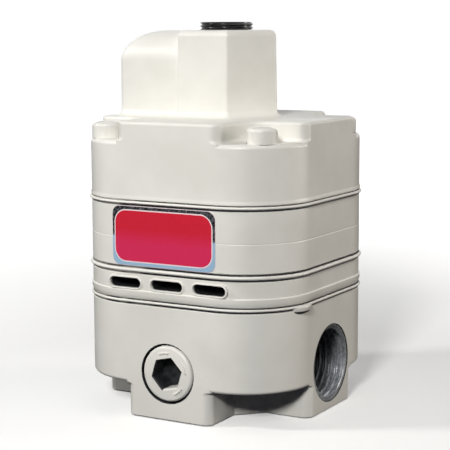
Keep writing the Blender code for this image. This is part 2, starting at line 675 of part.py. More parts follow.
def body():
    """The base casting with its four bosses, the main ports and the gauge ports."""
    outlines = [rounded_square(HALF_WIDTH, CORNER_RADIUS)]
    shape = prism("body", outlines, 0, BODY_HEIGHT, "epoxy_paint")
    for corner in range(4):
        boolean(shape, undercut(corner))
    recess_floor = BODY_HEIGHT - CONTROL_RECESS_DEPTH
    seat_hole = SEAT_RADIUS + GAP
    bore = turned("body_bore", [
        (0, BODY_HEIGHT + GAP), (CONTROL_RECESS_RADIUS, BODY_HEIGHT + GAP),
        (CONTROL_RECESS_RADIUS, recess_floor), (OUTLET_CHAMBER_RADIUS, recess_floor),
        (OUTLET_CHAMBER_RADIUS, SEAT_WALL_HIGH), (seat_hole, SEAT_WALL_HIGH),
        (seat_hole, SEAT_WALL_LOW), (SUPPLY_CHAMBER_RADIUS, SEAT_WALL_LOW),
        (SUPPLY_CHAMBER_RADIUS, -GAP), (0, -GAP)], closed=False)
    boolean(shape, bore)
    for side in (-1, 1):
        boolean(shape, main_port(side))
        boolean(shape, gauge_port(side))
    boolean(shape, rod("supply_passage", SUPPLY_PASSAGE_RADIUS,
                       (-HALF_WIDTH + PORT_DEPTH - GAP, 0, SUPPLY_PASSAGE_HEIGHT),
                       (-SUPPLY_CHAMBER_RADIUS / 2, 0, SUPPLY_PASSAGE_HEIGHT), SMALL_STEPS))
    level = (SEAT_WALL_HIGH + recess_floor) / 2
    outlet = prism("outlet_passage", [stadium(0, OUTLET_PASSAGE_WIDTH, OUTLET_PASSAGE_HEIGHT)],
                   OUTLET_CHAMBER_RADIUS / 2, HALF_WIDTH - PORT_DEPTH + GAP)
    outlet.matrix_world = (Matrix.Translation((0, 0, level)) @ Matrix.Rotation(math.pi / 2, 4, "Z")
                           @ Matrix.Rotation(math.pi / 2, 4, "X"))
    boolean(shape, outlet)
    for side in (-1, 1):
        passage = rod(f"gauge_passage_{side}", GAUGE_PASSAGE_RADIUS,
                      (0, side * (HALF_WIDTH - GAUGE_PORT_DEPTH + GAP), PORT_HEIGHT + GAUGE_PORT_RADIUS / 2),
                      (0, side * OUTLET_CHAMBER_RADIUS * 0.8, level), SMALL_STEPS)
        boolean(shape, passage)
    for i, (x, y) in enumerate(SCREW_PLACES):
        hole = rod(f"tapped_hole_{i}", SCREW_RADIUS + BOLT_CLEARANCE,
                   (x, y, BODY_HEIGHT - SCREW_GRIP - 2 * GAP), (x, y, BODY_HEIGHT + GAP), SMALL_STEPS)
        boolean(shape, hole)
    return shape


def undercut(corner):
    """Cutter for one corner of the body, below the wall: it leaves the bosses and a slanted core."""
    edge, soft, wall = BOSS_HALF_WIDTH, BOSS_CORNER_RADIUS, HALF_WIDTH
    far = 1.5 * HALF_WIDTH
    outline = [(edge - soft + soft * math.cos(math.radians(ARC_START - 90)), -far)]
    outline += arc((edge - soft, soft - wall), soft, ARC_START - 90, 0, EDGE_STEPS)
    outline += [(edge, -CORE_CORNER), (CORE_CORNER, -edge)]
    outline += arc((wall - soft, soft - edge), soft, -90, -ARC_START, EDGE_STEPS)
    outline += [(far, soft - edge - soft * math.sin(math.radians(ARC_START))), (far, -far)]
    spin = Matrix.Rotation(math.radians(90 * corner), 2)
    outline = [tuple(spin @ Vector(point)) for point in outline]
    return prism(f"undercut_{corner}", [outline], -BOSS_CORNER_RADIUS, UNDERCUT_HEIGHT)


def main_port(side):
    """Cutter for a main port: a bore with a chamfered mouth."""
    length = PORT_DEPTH + GAP
    chamfer = PORT_MOUTH_CHAMFER
    port = turned(f"main_port_{side}", [
        (0, length), (PORT_RADIUS + chamfer + GAP, length), (PORT_RADIUS, PORT_DEPTH - chamfer),
        (PORT_RADIUS, 0), (0, 0)], closed=False)
    inner = HALF_WIDTH - PORT_DEPTH
    port.matrix_world = (Matrix.Translation((side * inner, 0, PORT_HEIGHT))
                         @ Matrix.Rotation(side * math.pi / 2, 4, "Y"))
    return port


def gauge_port(side):
    """Cutter for a gauge port: a bore with a small chamfer."""
    length = GAUGE_PORT_DEPTH + GAP
    chamfer = GAUGE_MOUTH_CHAMFER
    port = turned(f"gauge_port_{side}", [
        (0, length), (GAUGE_PORT_RADIUS + chamfer + GAP, length),
        (GAUGE_PORT_RADIUS, GAUGE_PORT_DEPTH - chamfer), (GAUGE_PORT_RADIUS, 0), (0, 0)], closed=False)
    inner = HALF_WIDTH - GAUGE_PORT_DEPTH
    port.matrix_world = (Matrix.Translation((0, side * inner, PORT_HEIGHT))
                         @ Matrix.Rotation(-side * math.pi / 2, 4, "X"))
    return port


def gauge_plug(name, side):
    """A socket plug that closes a gauge port, with a slightly domed face."""
    radius = GAUGE_PORT_RADIUS - GAP
    plug = turned(name, [
        (0, 0), (PLUG_CROWN_RADIUS, 0), (radius, -PLUG_DOME), (radius, -PLUG_LENGTH), (0, -PLUG_LENGTH)],
        "epoxy_paint", closed=False)
    socket = rod(f"{name}_socket", PLUG_HEX / math.sqrt(3), (0, 0, -PLUG_HEX_DEPTH), (0, 0, PLUG_DOME), 6)
    spin = Matrix.Rotation(math.radians(PLUG_TURN), 4, "Z")
    face = side * (HALF_WIDTH - PLUG_SETBACK)
    where = Matrix.Translation((0, face, PORT_HEIGHT)) @ Matrix.Rotation(-side * math.pi / 2, 4, "X") @ spin
    plug.matrix_world = where
    socket.matrix_world = where
    boolean(plug, socket)
    return plug


def bonnet_screws():
    """Slotted cheese-head screws from the pockets down into the body."""
    seat = RIM_TOP + GAP
    side = seat + SCREW_HEAD_SIDE
    tip = BODY_HEIGHT - SCREW_GRIP
    profile = [(0, side + SCREW_HEAD_DOME)]
    for step in range(1, EDGE_STEPS):
        angle = math.radians(90 * step / EDGE_STEPS)
        profile.append((SCREW_HEAD_RADIUS * math.sin(angle), side + SCREW_HEAD_DOME * math.cos(angle)))
    profile += [(SCREW_HEAD_RADIUS, side - GAP), (SCREW_HEAD_RADIUS, seat), (SCREW_RADIUS, seat),
                (SCREW_RADIUS, tip + SCREW_TIP), (SCREW_RADIUS - SCREW_TIP, tip), (0, tip)]
    screw = turned("screw_guide", profile, steps=SMALL_STEPS, closed=False)
    top = side + SCREW_HEAD_DOME
    slot = block("screw_slot", (-2 * SCREW_HEAD_RADIUS, -SCREW_SLOT_WIDTH / 2, top - SCREW_SLOT_DEPTH),
                 (2 * SCREW_HEAD_RADIUS, SCREW_SLOT_WIDTH / 2, top + SCREW_SLOT_DEPTH))
    boolean(screw, slot)
    matrices = [Matrix.Translation((x, y, 0)) @ Matrix.Rotation(math.radians(turn), 4, "Z")
                for (x, y), turn in zip(SCREW_PLACES, SCREW_TURNS)]
    copies("bonnet_screw", screw, matrices, "epoxy_paint")


def signal_plug():
    """The plastic plug that keeps the signal port clean, hollow and open at the top."""
    low = TOWER_TOP - SIGNAL_PLUG_DEPTH
    floor = low + SIGNAL_PLUG_WALL
    rim = TOWER_TOP + GAP
    top = rim + SIGNAL_PLUG_RIM
    shank = SIGNAL_PORT_RADIUS - GAP
    inside = shank - SIGNAL_PLUG_WALL
    return turned("signal_port_plug", [
        (0, floor), (inside, floor), (inside, top), (SIGNAL_PLUG_RIM_RADIUS, top),
        (SIGNAL_PLUG_RIM_RADIUS, rim), (shank, rim), (shank, low), (0, low)],
        "black_polyethylene", closed=False)


def supply_valve():
    """The double valve: a disc under the supply seat and, on the same stem, the exhaust valve."""
    disc_top = FACE_TOP - VALVE_FACE_THICKNESS - GAP
    foot = RETAINER_RECESS + RETAINER_FLOOR + VALVE_TRAVEL + GAP
    face_low = EXHAUST_SEAT - GAP - EXHAUST_FACE_THICKNESS
    collar = face_low - GAP
    head = EXHAUST_SEAT
    return turned("supply_valve", [
        (0, head + STEM_HEAD), (STEM_HEAD_RADIUS, head + STEM_HEAD), (STEM_HEAD_RADIUS, head),
        (STEM_RADIUS, head), (STEM_RADIUS, collar), (EXHAUST_COLLAR_RADIUS, collar),
        (EXHAUST_COLLAR_RADIUS, collar - VALVE_DISC_THICKNESS), (STEM_RADIUS, collar - VALVE_DISC_THICKNESS),
        (STEM_RADIUS, disc_top), (VALVE_FACE_RADIUS, disc_top),
        (VALVE_FACE_RADIUS, disc_top - VALVE_DISC_THICKNESS), (STEM_RADIUS, disc_top - VALVE_DISC_THICKNESS),
        (STEM_RADIUS, foot), (0, foot)], "brass", SMALL_STEPS, closed=False)


def washer(name, inner, outer, low, high, material, steps=SMALL_STEPS):
    """A flat ring."""
    return turned(name, [(inner, high), (outer, high), (outer, low), (inner, low)], material, steps)


def o_ring(name, radius, level):
    """A rubber ring of the common wire size."""
    return turned(name, arc((radius, level), RING_WIRE, 90, -225, 7), "nitrile_rubber", SMALL_STEPS)


def supply_seat():
    """The screwed-in seat with its lip pointing down at the valve."""
    lip = SEAT_WALL_LOW - SEAT_LIP
    flange = SEAT_WALL_HIGH + GAP
    top = flange + SEAT_FLANGE
    return turned("supply_seat", [
        (SEAT_BORE_RADIUS, top), (SEAT_FLANGE_RADIUS, top), (SEAT_FLANGE_RADIUS, flange),
        (SEAT_RADIUS, flange), (SEAT_RADIUS, SEAT_WALL_LOW - GAP), (SEAT_LIP_RADIUS, lip),
        (SEAT_BORE_RADIUS, lip)], "brass", SMALL_STEPS)


def valve_retainer():
    """The bottom plug: a cup for the spring with a guide for the stem and a groove for its ring."""
    low, top = RETAINER_RECESS, RETAINER_TOP
    floor = low + RETAINER_FLOOR
    guide = STEM_RADIUS + GAP
    groove = RETAINER_RADIUS - 2 * RING_WIRE - GAP
    middle = (low + top) / 2
    half = RING_GROOVE_HEIGHT / 2
    shape = turned("valve_retainer", [
        (0, floor), (guide, floor), (guide, top), (RETAINER_GUIDE_RADIUS, top),
        (RETAINER_GUIDE_RADIUS, floor), (RETAINER_CUP_RADIUS, floor), (RETAINER_CUP_RADIUS, top),
        (RETAINER_RADIUS, top), (RETAINER_RADIUS, middle + half), (groove, middle + half),
        (groove, middle - half), (RETAINER_RADIUS, middle - half), (RETAINER_RADIUS, low), (0, low)],
        "turned_aluminium", HIDDEN_STEPS, closed=False)
    slot = block("retainer_slot", (-2 * RETAINER_RADIUS, -RETAINER_SLOT_WIDTH / 2, 0),
                 (2 * RETAINER_RADIUS, RETAINER_SLOT_WIDTH / 2, low + RETAINER_SLOT_DEPTH))
    boolean(shape, slot)
    o_ring("retainer_o_ring", RETAINER_RADIUS - RING_WIRE, middle)
    return shape


def valve_spring():
    """The coil that closes the supply valve."""
    low = RETAINER_RECESS + RETAINER_FLOOR + GAP + SPRING_WIRE
    high = FACE_TOP - VALVE_FACE_THICKNESS - GAP - VALVE_DISC_THICKNESS - GAP - SPRING_WIRE
    per_turn = 12
    count = SPRING_TURNS * per_turn
    curve = bpy.data.curves.new("valve_spring", "CURVE")
    curve.dimensions = "3D"
    curve.bevel_depth = SPRING_WIRE
    curve.bevel_resolution = 2
    curve.use_fill_caps = True
    spline = curve.splines.new("POLY")
    spline.points.add(count)
    for i, point in enumerate(spline.points):
        angle = 2 * math.pi * i / per_turn
        level = low + (high - low) * i / count
        point.co = (SPRING_RADIUS * math.cos(angle), SPRING_RADIUS * math.sin(angle), level, 1)
    return from_curve("valve_spring", curve, Matrix.Identity(4), "spring_steel")


def baffle():
    """The plate that parts the control chamber from the flow, and the sensing tube through it."""
    radius = CONTROL_RECESS_RADIUS - GAP
    outlines = [circle((0, 0), radius, ROUND_STEPS), circle((0, 0), STEM_RADIUS + GAP),
                circle((TUBE_OFFSET, 0), TUBE_RADIUS + GAP)]
    prism("baffle_plate", outlines, BAFFLE_LOW, BAFFLE_TOP, "zinc_plated_steel")
    top = BAFFLE_TOP + GAP + TUBE_FLANGE
    end = SEAT_WALL_HIGH + TUBE_LIFT
    bore = TUBE_RADIUS - TUBE_WALL
    tube = turned("sensing_tube", [
        (bore, top), (TUBE_FLANGE_RADIUS, top), (TUBE_FLANGE_RADIUS, BAFFLE_TOP + GAP),
        (TUBE_RADIUS, BAFFLE_TOP + GAP), (TUBE_RADIUS, end), (bore, end)], "brass", SMALL_STEPS)
    tube.location.x = TUBE_OFFSET


def cross_holes(shape, prefix, radius):
    """The side holes that let the exhaust out of the hub."""
    level = BODY_HEIGHT + CROSS_HOLE_HEIGHT
    reach = 2 * SPACER_TUBE_RADIUS
    for axis, end in (("x", (reach, 0, 0)), ("y", (0, reach, 0))):
        end = Vector(end)
        up = Vector((0, 0, level))
        boolean(shape, rod(f"{prefix}_hole_{axis}", radius, up - end, up + end, SMALL_STEPS))


def exhaust_hub():
    """The hub with the exhaust seat inside. Its flange clamps the control diaphragm, and its post
    carries both pistons."""
    low = BODY_HEIGHT - HUB_FLANGE
    shoulder = EXHAUST_HIGH + RING_GASKET_THICKNESS
    shape = turned("exhaust_hub", [
        (0, POST_TIP), (HUB_POST_RADIUS - POST_CHAMFER, POST_TIP), (HUB_POST_RADIUS, POST_TIP - POST_CHAMFER),
        (HUB_POST_RADIUS, shoulder), (HUB_NECK_RADIUS, shoulder), (HUB_NECK_RADIUS, BODY_HEIGHT),
        (HUB_FLANGE_RADIUS, BODY_HEIGHT), (HUB_FLANGE_RADIUS, low), (EXHAUST_BORE_RADIUS, low),
        (EXHAUST_BORE_RADIUS, EXHAUST_SEAT), (EXHAUST_SEAT_RADIUS, EXHAUST_SEAT),
        (EXHAUST_SEAT_RADIUS, EXHAUST_SEAT + EXHAUST_BORE_DEPTH), (0, EXHAUST_SEAT + EXHAUST_BORE_DEPTH)],
        "turned_aluminium", HIDDEN_STEPS, closed=False)
    cross_holes(shape, "hub", CROSS_HOLE_RADIUS)
    return shape


def carried_pieces():
    """The pistons, the tube between them, the clamping plate and the nut on the hub's post."""
    low = CONTROL_HIGH + GAP
    washer("control_piston", HUB_HOLE_RADIUS, PISTON_RADIUS, low, low + CONTROL_PISTON_HEIGHT,
           "turned_aluminium", HIDDEN_STEPS)
    tube = washer("spacer_tube", HUB_HOLE_RADIUS, SPACER_TUBE_RADIUS, low + CONTROL_PISTON_HEIGHT + GAP,
                  SIGNAL_PISTON_LOW - GAP, "turned_aluminium")
    cross_holes(tube, "tube", CROSS_HOLE_RADIUS + GAP)
    top = SIGNAL_PISTON_LOW + SIGNAL_PISTON_HEIGHT
    web = top - SIGNAL_PISTON_WEB
    cup = PISTON_RADIUS - SIGNAL_PISTON_WALL
    turned("signal_piston", [
        (POST_HOLE_RADIUS, top), (PISTON_RADIUS, top), (PISTON_RADIUS, SIGNAL_PISTON_LOW),
        (cup, SIGNAL_PISTON_LOW), (cup, web), (SPACER_TUBE_RADIUS, web),
        (SPACER_TUBE_RADIUS, SIGNAL_PISTON_LOW), (POST_HOLE_RADIUS, SIGNAL_PISTON_LOW)],
        "turned_aluminium", HIDDEN_STEPS)
    washer("clamp_plate", POST_HOLE_RADIUS, TOP_PLATE_RADIUS, TOP_PLATE_LOW,
           TOP_PLATE_LOW + TOP_PLATE_THICKNESS, "zinc_plated_steel", HIDDEN_STEPS)
    hexagon = rounded_polygon(6, NUT_ACROSS_FLATS / 2, GAP, 0, 1)
    prism("hub_nut", [hexagon, circle((0, 0), POST_HOLE_RADIUS)], NUT_LOW, NUT_LOW + NUT_HEIGHT,
          "zinc_plated_steel")


def axis_empty(name, members):
    """An empty on the axis that its pieces slide along."""
    empty = bpy.data.objects.new(name, None)
    pieces.objects.link(empty)
    for member in members:
        pieces.objects[member].parent = empty


bonnet()
ring("spacer_ring", SPACER_LOW, SPACER_HIGH)
exhaust_ring()
body()
ring("ring_gasket", GASKET_LOW, GASKET_HIGH, GASKET_PROUD, "painted_edge")
nameplate()
diaphragm("signal_diaphragm", SIGNAL_LOW, SIGNAL_EDGE, SIGNAL_EDGE_PROUD, SIGNAL_CONVOLUTION, -1,
          POST_HOLE_RADIUS)
tab(diaphragm("control_diaphragm", CONTROL_LOW, CONTROL_EDGE, CONTROL_EDGE_PROUD, CONTROL_CONVOLUTION, 1,
              HUB_HOLE_RADIUS))
gauge_plug("gauge_plug_front", -1)
gauge_plug("gauge_plug_back", 1)
bonnet_screws()
signal_plug()
supply_valve()
washer("valve_face", STEM_RADIUS + GAP, VALVE_FACE_RADIUS, FACE_TOP - VALVE_FACE_THICKNESS, FACE_TOP,
       "nitrile_rubber")
washer("exhaust_face", STEM_RADIUS + GAP, EXHAUST_FACE_RADIUS, EXHAUST_SEAT - GAP - EXHAUST_FACE_THICKNESS,
       EXHAUST_SEAT - GAP, "nitrile_rubber")
supply_seat()
valve_retainer()
valve_spring()
baffle()
exhaust_hub()
carried_pieces()
axis_empty("supply_valve_axis", ["supply_valve", "valve_face", "exhaust_face"])
axis_empty("hub_axis", ["exhaust_hub", "control_piston", "spacer_tube", "signal_piston", "clamp_plate",
                        "hub_nut"])

for piece in pieces.objects:
    if piece.type == "MESH":
        piece.data.shade_smooth()
        piece.data.set_sharp_from_angle(angle=math.radians(SHARP_ANGLE))
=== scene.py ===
import json
import math

import bmesh
import bpy
from mathutils import Euler, Matrix, Vector


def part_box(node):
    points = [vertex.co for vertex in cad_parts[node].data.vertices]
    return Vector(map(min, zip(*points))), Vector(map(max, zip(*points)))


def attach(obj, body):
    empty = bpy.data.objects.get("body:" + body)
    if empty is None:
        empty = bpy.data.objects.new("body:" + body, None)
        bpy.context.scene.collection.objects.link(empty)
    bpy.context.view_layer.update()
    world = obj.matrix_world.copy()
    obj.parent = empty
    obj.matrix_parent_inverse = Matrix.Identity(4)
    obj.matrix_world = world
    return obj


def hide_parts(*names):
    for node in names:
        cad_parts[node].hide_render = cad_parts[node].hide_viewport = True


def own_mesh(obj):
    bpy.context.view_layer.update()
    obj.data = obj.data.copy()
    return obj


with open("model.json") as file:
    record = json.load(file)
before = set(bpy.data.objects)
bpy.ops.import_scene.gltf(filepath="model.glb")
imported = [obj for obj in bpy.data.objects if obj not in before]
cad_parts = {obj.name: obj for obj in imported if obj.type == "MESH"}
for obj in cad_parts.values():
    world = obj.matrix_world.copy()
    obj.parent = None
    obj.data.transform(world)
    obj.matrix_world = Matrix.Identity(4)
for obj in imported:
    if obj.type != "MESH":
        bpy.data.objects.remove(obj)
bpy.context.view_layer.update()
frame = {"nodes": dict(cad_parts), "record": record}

mm = 0.001
print("volume booster: frame loaded")

# Camera, fitted to the photograph
camera = {
    "place": (0.192612, -0.336722, 0.104091),
    "tilt": 81.945,          # degrees
    "swing": 29.875,
    "roll": -0.259,
    "lens": 110.43,          # mm on a 36 mm sensor
}
lens = bpy.data.cameras.new("camera")
lens.lens = camera["lens"]
lens.sensor_width = 36
eye = bpy.data.objects.new("camera", lens)
eye.matrix_world = (Matrix.Translation(camera["place"])
                    @ Matrix.Rotation(math.radians(camera["swing"]), 4, "Z")
                    @ Matrix.Rotation(math.radians(camera["tilt"]), 4, "X")
                    @ Matrix.Rotation(math.radians(camera["roll"]), 4, "Z"))
bpy.context.scene.collection.objects.link(eye)
bpy.context.scene.camera = eye
bpy.context.scene.view_settings.view_transform = "Standard"


# Materials
def linear(code, alpha=1.0):
    # sRGB hex to the linear colour that the shaders work in
    channels = [int(code[i:i + 2], 16) / 255 for i in (1, 3, 5)]
    return [c / 12.92 if c <= 0.04045 else ((c + 0.055) / 1.055) ** 2.4 for c in channels] + [alpha]


def perSize(size):
    # texture scale for a pattern of this size in mm, on coordinates in metres
    return 1 / (size * mm)


def addNode(tree, kind, inputs=None, **settings):
    node = tree.nodes.new("ShaderNode" + kind)
    for name, value in settings.items():
        setattr(node, name, value)
    for name, value in (inputs or {}).items():
        if isinstance(value, bpy.types.NodeSocket):
            tree.links.new(value, node.inputs[name])
        else:
            node.inputs[name].default_value = value
    return node


def newMaterial(name, sockets):
    material = bpy.data.materials.new(name)
    material.use_nodes = True
    tree = material.node_tree
    shader = tree.nodes["Principled BSDF"]
    for socket, value in sockets.items():
        if isinstance(value, str):
            value = linear(value)
        shader.inputs[socket].default_value = value
    place = addNode(tree, "TexCoord").outputs["Object"]
    return material, tree, shader, place


def noise(tree, place, size, detail=2.0, rough=0.5):
    inputs = {"Vector": place, "Scale": perSize(size), "Detail": detail, "Roughness": rough}
    return addNode(tree, "TexNoise", inputs).outputs["Fac"]


def blendColours(tree, factor, first, second):
    mix = addNode(tree, "Mix", data_type="RGBA")
    for socket, value in ((0, factor), (6, first), (7, second)):
        if isinstance(value, bpy.types.NodeSocket):
            tree.links.new(value, mix.inputs[socket])
        else:
            mix.inputs[socket].default_value = linear(value) if isinstance(value, str) else value
    return mix.outputs[2]


def spread(tree, value, low, high, newLow=0.0, newHigh=1.0):
    inputs = {"Value": value, "From Min": low, "From Max": high, "To Min": newLow, "To Max": newHigh}
    return addNode(tree, "MapRange", inputs).outputs[0]


def addBump(tree, shader, height, strength, depth):
    bump = addNode(tree, "Bump", {"Height": height, "Strength": strength, "Distance": depth * mm})
    tree.links.new(bump.outputs["Normal"], shader.inputs["Normal"])


epoxyPaint = {
    "pale": "#e9e7e0",
    "deep": "#e1dfd7",
    "roughness": (0.33, 0.42),
    "clouds": 14.0,          # mm, slow drift of the tone
    "peel": 0.9,             # mm, orange peel of the sprayed coat
    "grit": 0.28,            # mm, grain of the casting under the paint
    "bump": (0.25, 0.03),    # strength and depth
}


def paintedEpoxy():
    # die casting under a sprayed epoxy coat: warm off-white, satin, faintly pebbled
    use = epoxyPaint
    material, tree, shader, place = newMaterial("sprayed_epoxy", {"IOR": 1.5, "Specular IOR Level": 0.4})
    clouds = noise(tree, place, use["clouds"], 3.0)
    colour = blendColours(tree, spread(tree, clouds, 0.35, 0.65), use["deep"], use["pale"])
    tree.links.new(colour, shader.inputs["Base Color"])
    low, high = use["roughness"]
    sheen = spread(tree, noise(tree, place, use["peel"]), 0.3, 0.7, low, high)
    tree.links.new(sheen, shader.inputs["Roughness"])
    peel = noise(tree, place, use["peel"], 1.0)
    grit = noise(tree, place, use["grit"], 2.0)
    both = addNode(tree, "Math", {0: peel, 1: grit}, operation="ADD").outputs[0]
    addBump(tree, shader, both, *use["bump"])
    return material


foilPrint = {
    "red": "#cf2236",
    "skyTintedRed": "#d62d58",
    "silver": "#85888e",
    "darkReflection": "#101114",
    "sky": "#a9cbe6",
    "glint": "#e8506a",
    "turn": 49.6,            # mm, level at which the painted reflections on the border and the print change
    "soft": (2, 0.25),       # mm to each side of it, for the print and for the border
    "speckle": 0.5,          # mm
}


def redFoil():
    # screen-printed foil: clear red ink under a glossy film; bluer below the turn as a painted
    # reflection, with a speckle of painted glint
    use = foilPrint
    sockets = {"Roughness": 0.3, "Specular IOR Level": 0.45}
    material, tree, shader, place = newMaterial("screen_printed_foil", sockets)
    height = addNode(tree, "SeparateXYZ", {0: place}).outputs["Z"]
    turn, soft = use["turn"], use["soft"][0]
    fade = spread(tree, height, (turn - soft) * mm, (turn + soft) * mm)
    grain = noise(tree, place, use["speckle"], 2.0)
    # below the turn the red is bluer: painted reflection; the speckle then mixes in a painted glint
    ink = blendColours(tree, fade, use["skyTintedRed"], use["red"])
    shade = blendColours(tree, spread(tree, grain, 0.3, 0.7, 0.0, 0.06), ink, use["glint"])
    tree.links.new(shade, shader.inputs["Base Color"])
    addBump(tree, shader, grain, 0.1, 0.02)
    return material


def brightFoil():
    # bare rolled foil round the print; its colour is a painted reflection, speckled dark above the turn
    # and pale blue below
    use = foilPrint
    sockets = {"Metallic": 0.2, "Roughness": 0.28}
    material, tree, shader, place = newMaterial("rolled_foil_painted_reflection", sockets)
    height = addNode(tree, "SeparateXYZ", {0: place}).outputs["Z"]
    turn, soft = use["turn"], use["soft"][1]
    above = spread(tree, height, (turn - soft) * mm, (turn + soft) * mm)
    speckle = spread(tree, noise(tree, place, use["speckle"], 4.0, 0.7), 0.46, 0.7)
    # painted reflection: speckled dark above the turn, pale blue below it
    dark = blendColours(tree, speckle, use["darkReflection"], use["silver"])
    tree.links.new(blendColours(tree, above, use["sky"], dark), shader.inputs["Base Color"])
    return material


def mouldedPolyethylene():
    # injection-moulded polyethylene, glossy black
    sockets = {"Base Color": "#08080a", "Roughness": 0.16, "IOR": 1.51}
    material, tree, shader, place = newMaterial("moulded_polyethylene", sockets)
    addBump(tree, shader, noise(tree, place, 2.0), 0.08, 0.05)
    return material


def turnedMetal(name, colour, roughness, spacing=0.25):
    # lathe-turned metal: fine rings round the axis of the stack. The texture turns 20 radians to
    # the unit, and spacing is mm to the radian.
    material, tree, shader, place = newMaterial(name, {"Base Color": colour, "Metallic": 1.0})
    inputs = {"Vector": place, "Scale": perSize(spacing) / 20, "Distortion": 0.4}
    wave = addNode(tree, "TexWave", inputs, wave_type="RINGS", rings_direction="Z").outputs["Fac"]
    sheen = spread(tree, wave, 0, 1, roughness - 0.06, roughness + 0.06)
    tree.links.new(sheen, shader.inputs["Roughness"])
    addBump(tree, shader, wave, 0.15, 0.02)
    return material


tappedMetal = {
    "deepShade": "#17181b",
    "dull": "#74777b",
    "bright": "#b4b7bb",
    "tear": 0.8,             # mm
    "shadedDeep": (21, 31),       # mm from the axis: dark deep in, clear at the mouth; painted shade inside the port
}


def tappedAluminium():
    # die-cast aluminium cut by a tap: bare, grey, torn along the flanks, and darker deep in the port as
    # painted shade
    use = tappedMetal
    material, tree, shader, place = newMaterial("tapped_aluminium", {"Metallic": 0.5})
    tear = noise(tree, place, use["tear"], 4.0, 0.6)
    across = addNode(tree, "SeparateXYZ", {0: place}).outputs["X"]
    out = addNode(tree, "Math", {0: across}, operation="ABSOLUTE").outputs[0]
    colour = blendColours(tree, spread(tree, tear, 0.3, 0.7), use["dull"], use["bright"])
    deep, mouth = use["shadedDeep"]
    shadedDeep = blendColours(tree, spread(tree, out, deep * mm, mouth * mm), use["deepShade"], colour)
    tree.links.new(shadedDeep, shader.inputs["Base Color"])
    tree.links.new(spread(tree, tear, 0.3, 0.7, 0.28, 0.5), shader.inputs["Roughness"])
    addBump(tree, shader, tear, 0.35, 0.05)
    return material


def nitrile():
    # moulded nitrile rubber: dull black with a soft bloom
    material, tree, shader, place = newMaterial("moulded_nitrile", {"Base Color": "#161617", "IOR": 1.52})
    bloom = noise(tree, place, 1.5, 3.0)
    tree.links.new(spread(tree, bloom, 0.3, 0.7, 0.55, 0.75), shader.inputs["Roughness"])
    return material


jointPaint = {
    "lighterJoint": "#8d8a86",
    "rubber": "#121318",
    "patch": 6.0,            # mm
    "across": (-22, 6),      # mm, from the lighter left to the darker right: painted shade
    "shift": (-0.28, 0.12),
}


def partedPaintAndShade():
    # the joints, where the paint has parted and dark rubber shows; darker towards the right, which is
    # painted shade
    use = jointPaint
    material, tree, shader, place = newMaterial("parted_paint_and_painted_shade", {"Roughness": 0.6})
    across = addNode(tree, "SeparateXYZ", {0: place}).outputs["X"]
    left, right = use["across"]
    rightShade = spread(tree, across, left * mm, right * mm, *use["shift"])
    cloud = noise(tree, place, use["patch"], 3.0)
    patch = addNode(tree, "Math", {0: cloud, 1: rightShade}, operation="ADD").outputs[0]
    colour = blendColours(tree, spread(tree, patch, 0.3, 0.42), use["lighterJoint"], use["rubber"])
    tree.links.new(colour, shader.inputs["Base Color"])
    return material


def shadedCasting():
    # unpainted die-cast aluminium inside holes, slots and ports; its dark colour is painted shade for
    # those hollows
    material, tree, shader, place = newMaterial("die_casting_painted_shade", {"Metallic": 0.6, "Roughness": 0.6})
    stain = noise(tree, place, 1.2, 4.0)
    colour = blendColours(tree, spread(tree, stain, 0.35, 0.65), "#1d1e20", "#3b3d40")
    tree.links.new(colour, shader.inputs["Base Color"])
    addBump(tree, shader, stain, 0.3, 0.1)
    return material


paint = paintedEpoxy()
hollowShade = shadedCasting()
jointAndShade = partedPaintAndShade()
finishes = {
    "epoxy_paint": paint,
    "sealing_edge": paint,
    "nameplate_foil": brightFoil(),
    "port_plug": mouldedPolyethylene(),
    "brass": turnedMetal("turned_brass", "#c7a25a", 0.3),
    "turned_aluminium": turnedMetal("turned_aluminium", "#b9bcc0", 0.32),
    "plated_steel": turnedMetal("zinc_plated_steel", "#a6aaae", 0.36),
    "valve_rubber": nitrile(),
}
slotOf = {part["node"]: part["material_slot"] for part in frame["record"]["subparts"]}
for node, item in frame["nodes"].items():
    item.data.materials.clear()
    item.data.materials.append(finishes[slotOf[node]])
print("volume booster: finishes mixed")


# Shapes. Every function works in mm and the last step turns a mesh to metres.
past = 1                     # mm that a cutter reaches past the face that it opens


def arcPoints(centre, radius, start, end, steps):
    angles = [math.radians(start + (end - start) * i / steps) for i in range(steps + 1)]
    return [(centre[0] + radius * math.cos(a), centre[1] + radius * math.sin(a)) for a in angles]


def circle(radius, steps, centre=(0, 0)):
    return arcPoints(centre, radius, 0, 360, steps)[:-1]


def newShape(name, work):
    bmesh.ops.recalc_face_normals(work, faces=work.faces)
    mesh = bpy.data.meshes.new(name)
    work.to_mesh(mesh)
    work.free()
    for material in (paint, hollowShade):
        mesh.materials.append(material)
    item = bpy.data.objects.new(name, mesh)
    bpy.context.scene.collection.objects.link(item)
    return item


def skin(name, rings, loop=False):
    # joins rings of equal count, in mm; capped at both ends unless they loop round
    work = bmesh.new()
    made = [[work.verts.new(point) for point in ring] for ring in rings]
    pairs = list(zip(made, made[1:])) + ([(made[-1], made[0])] if loop else [])
    for below, above in pairs:
        for i in range(len(below)):
            work.faces.new((below[i - 1], below[i], above[i], above[i - 1]))
    if not loop:
        work.faces.new(reversed(made[0]))
        work.faces.new(made[-1])
    return newShape(name, work)


def level(outline, z):
    return [(x, y, z) for x, y in outline]


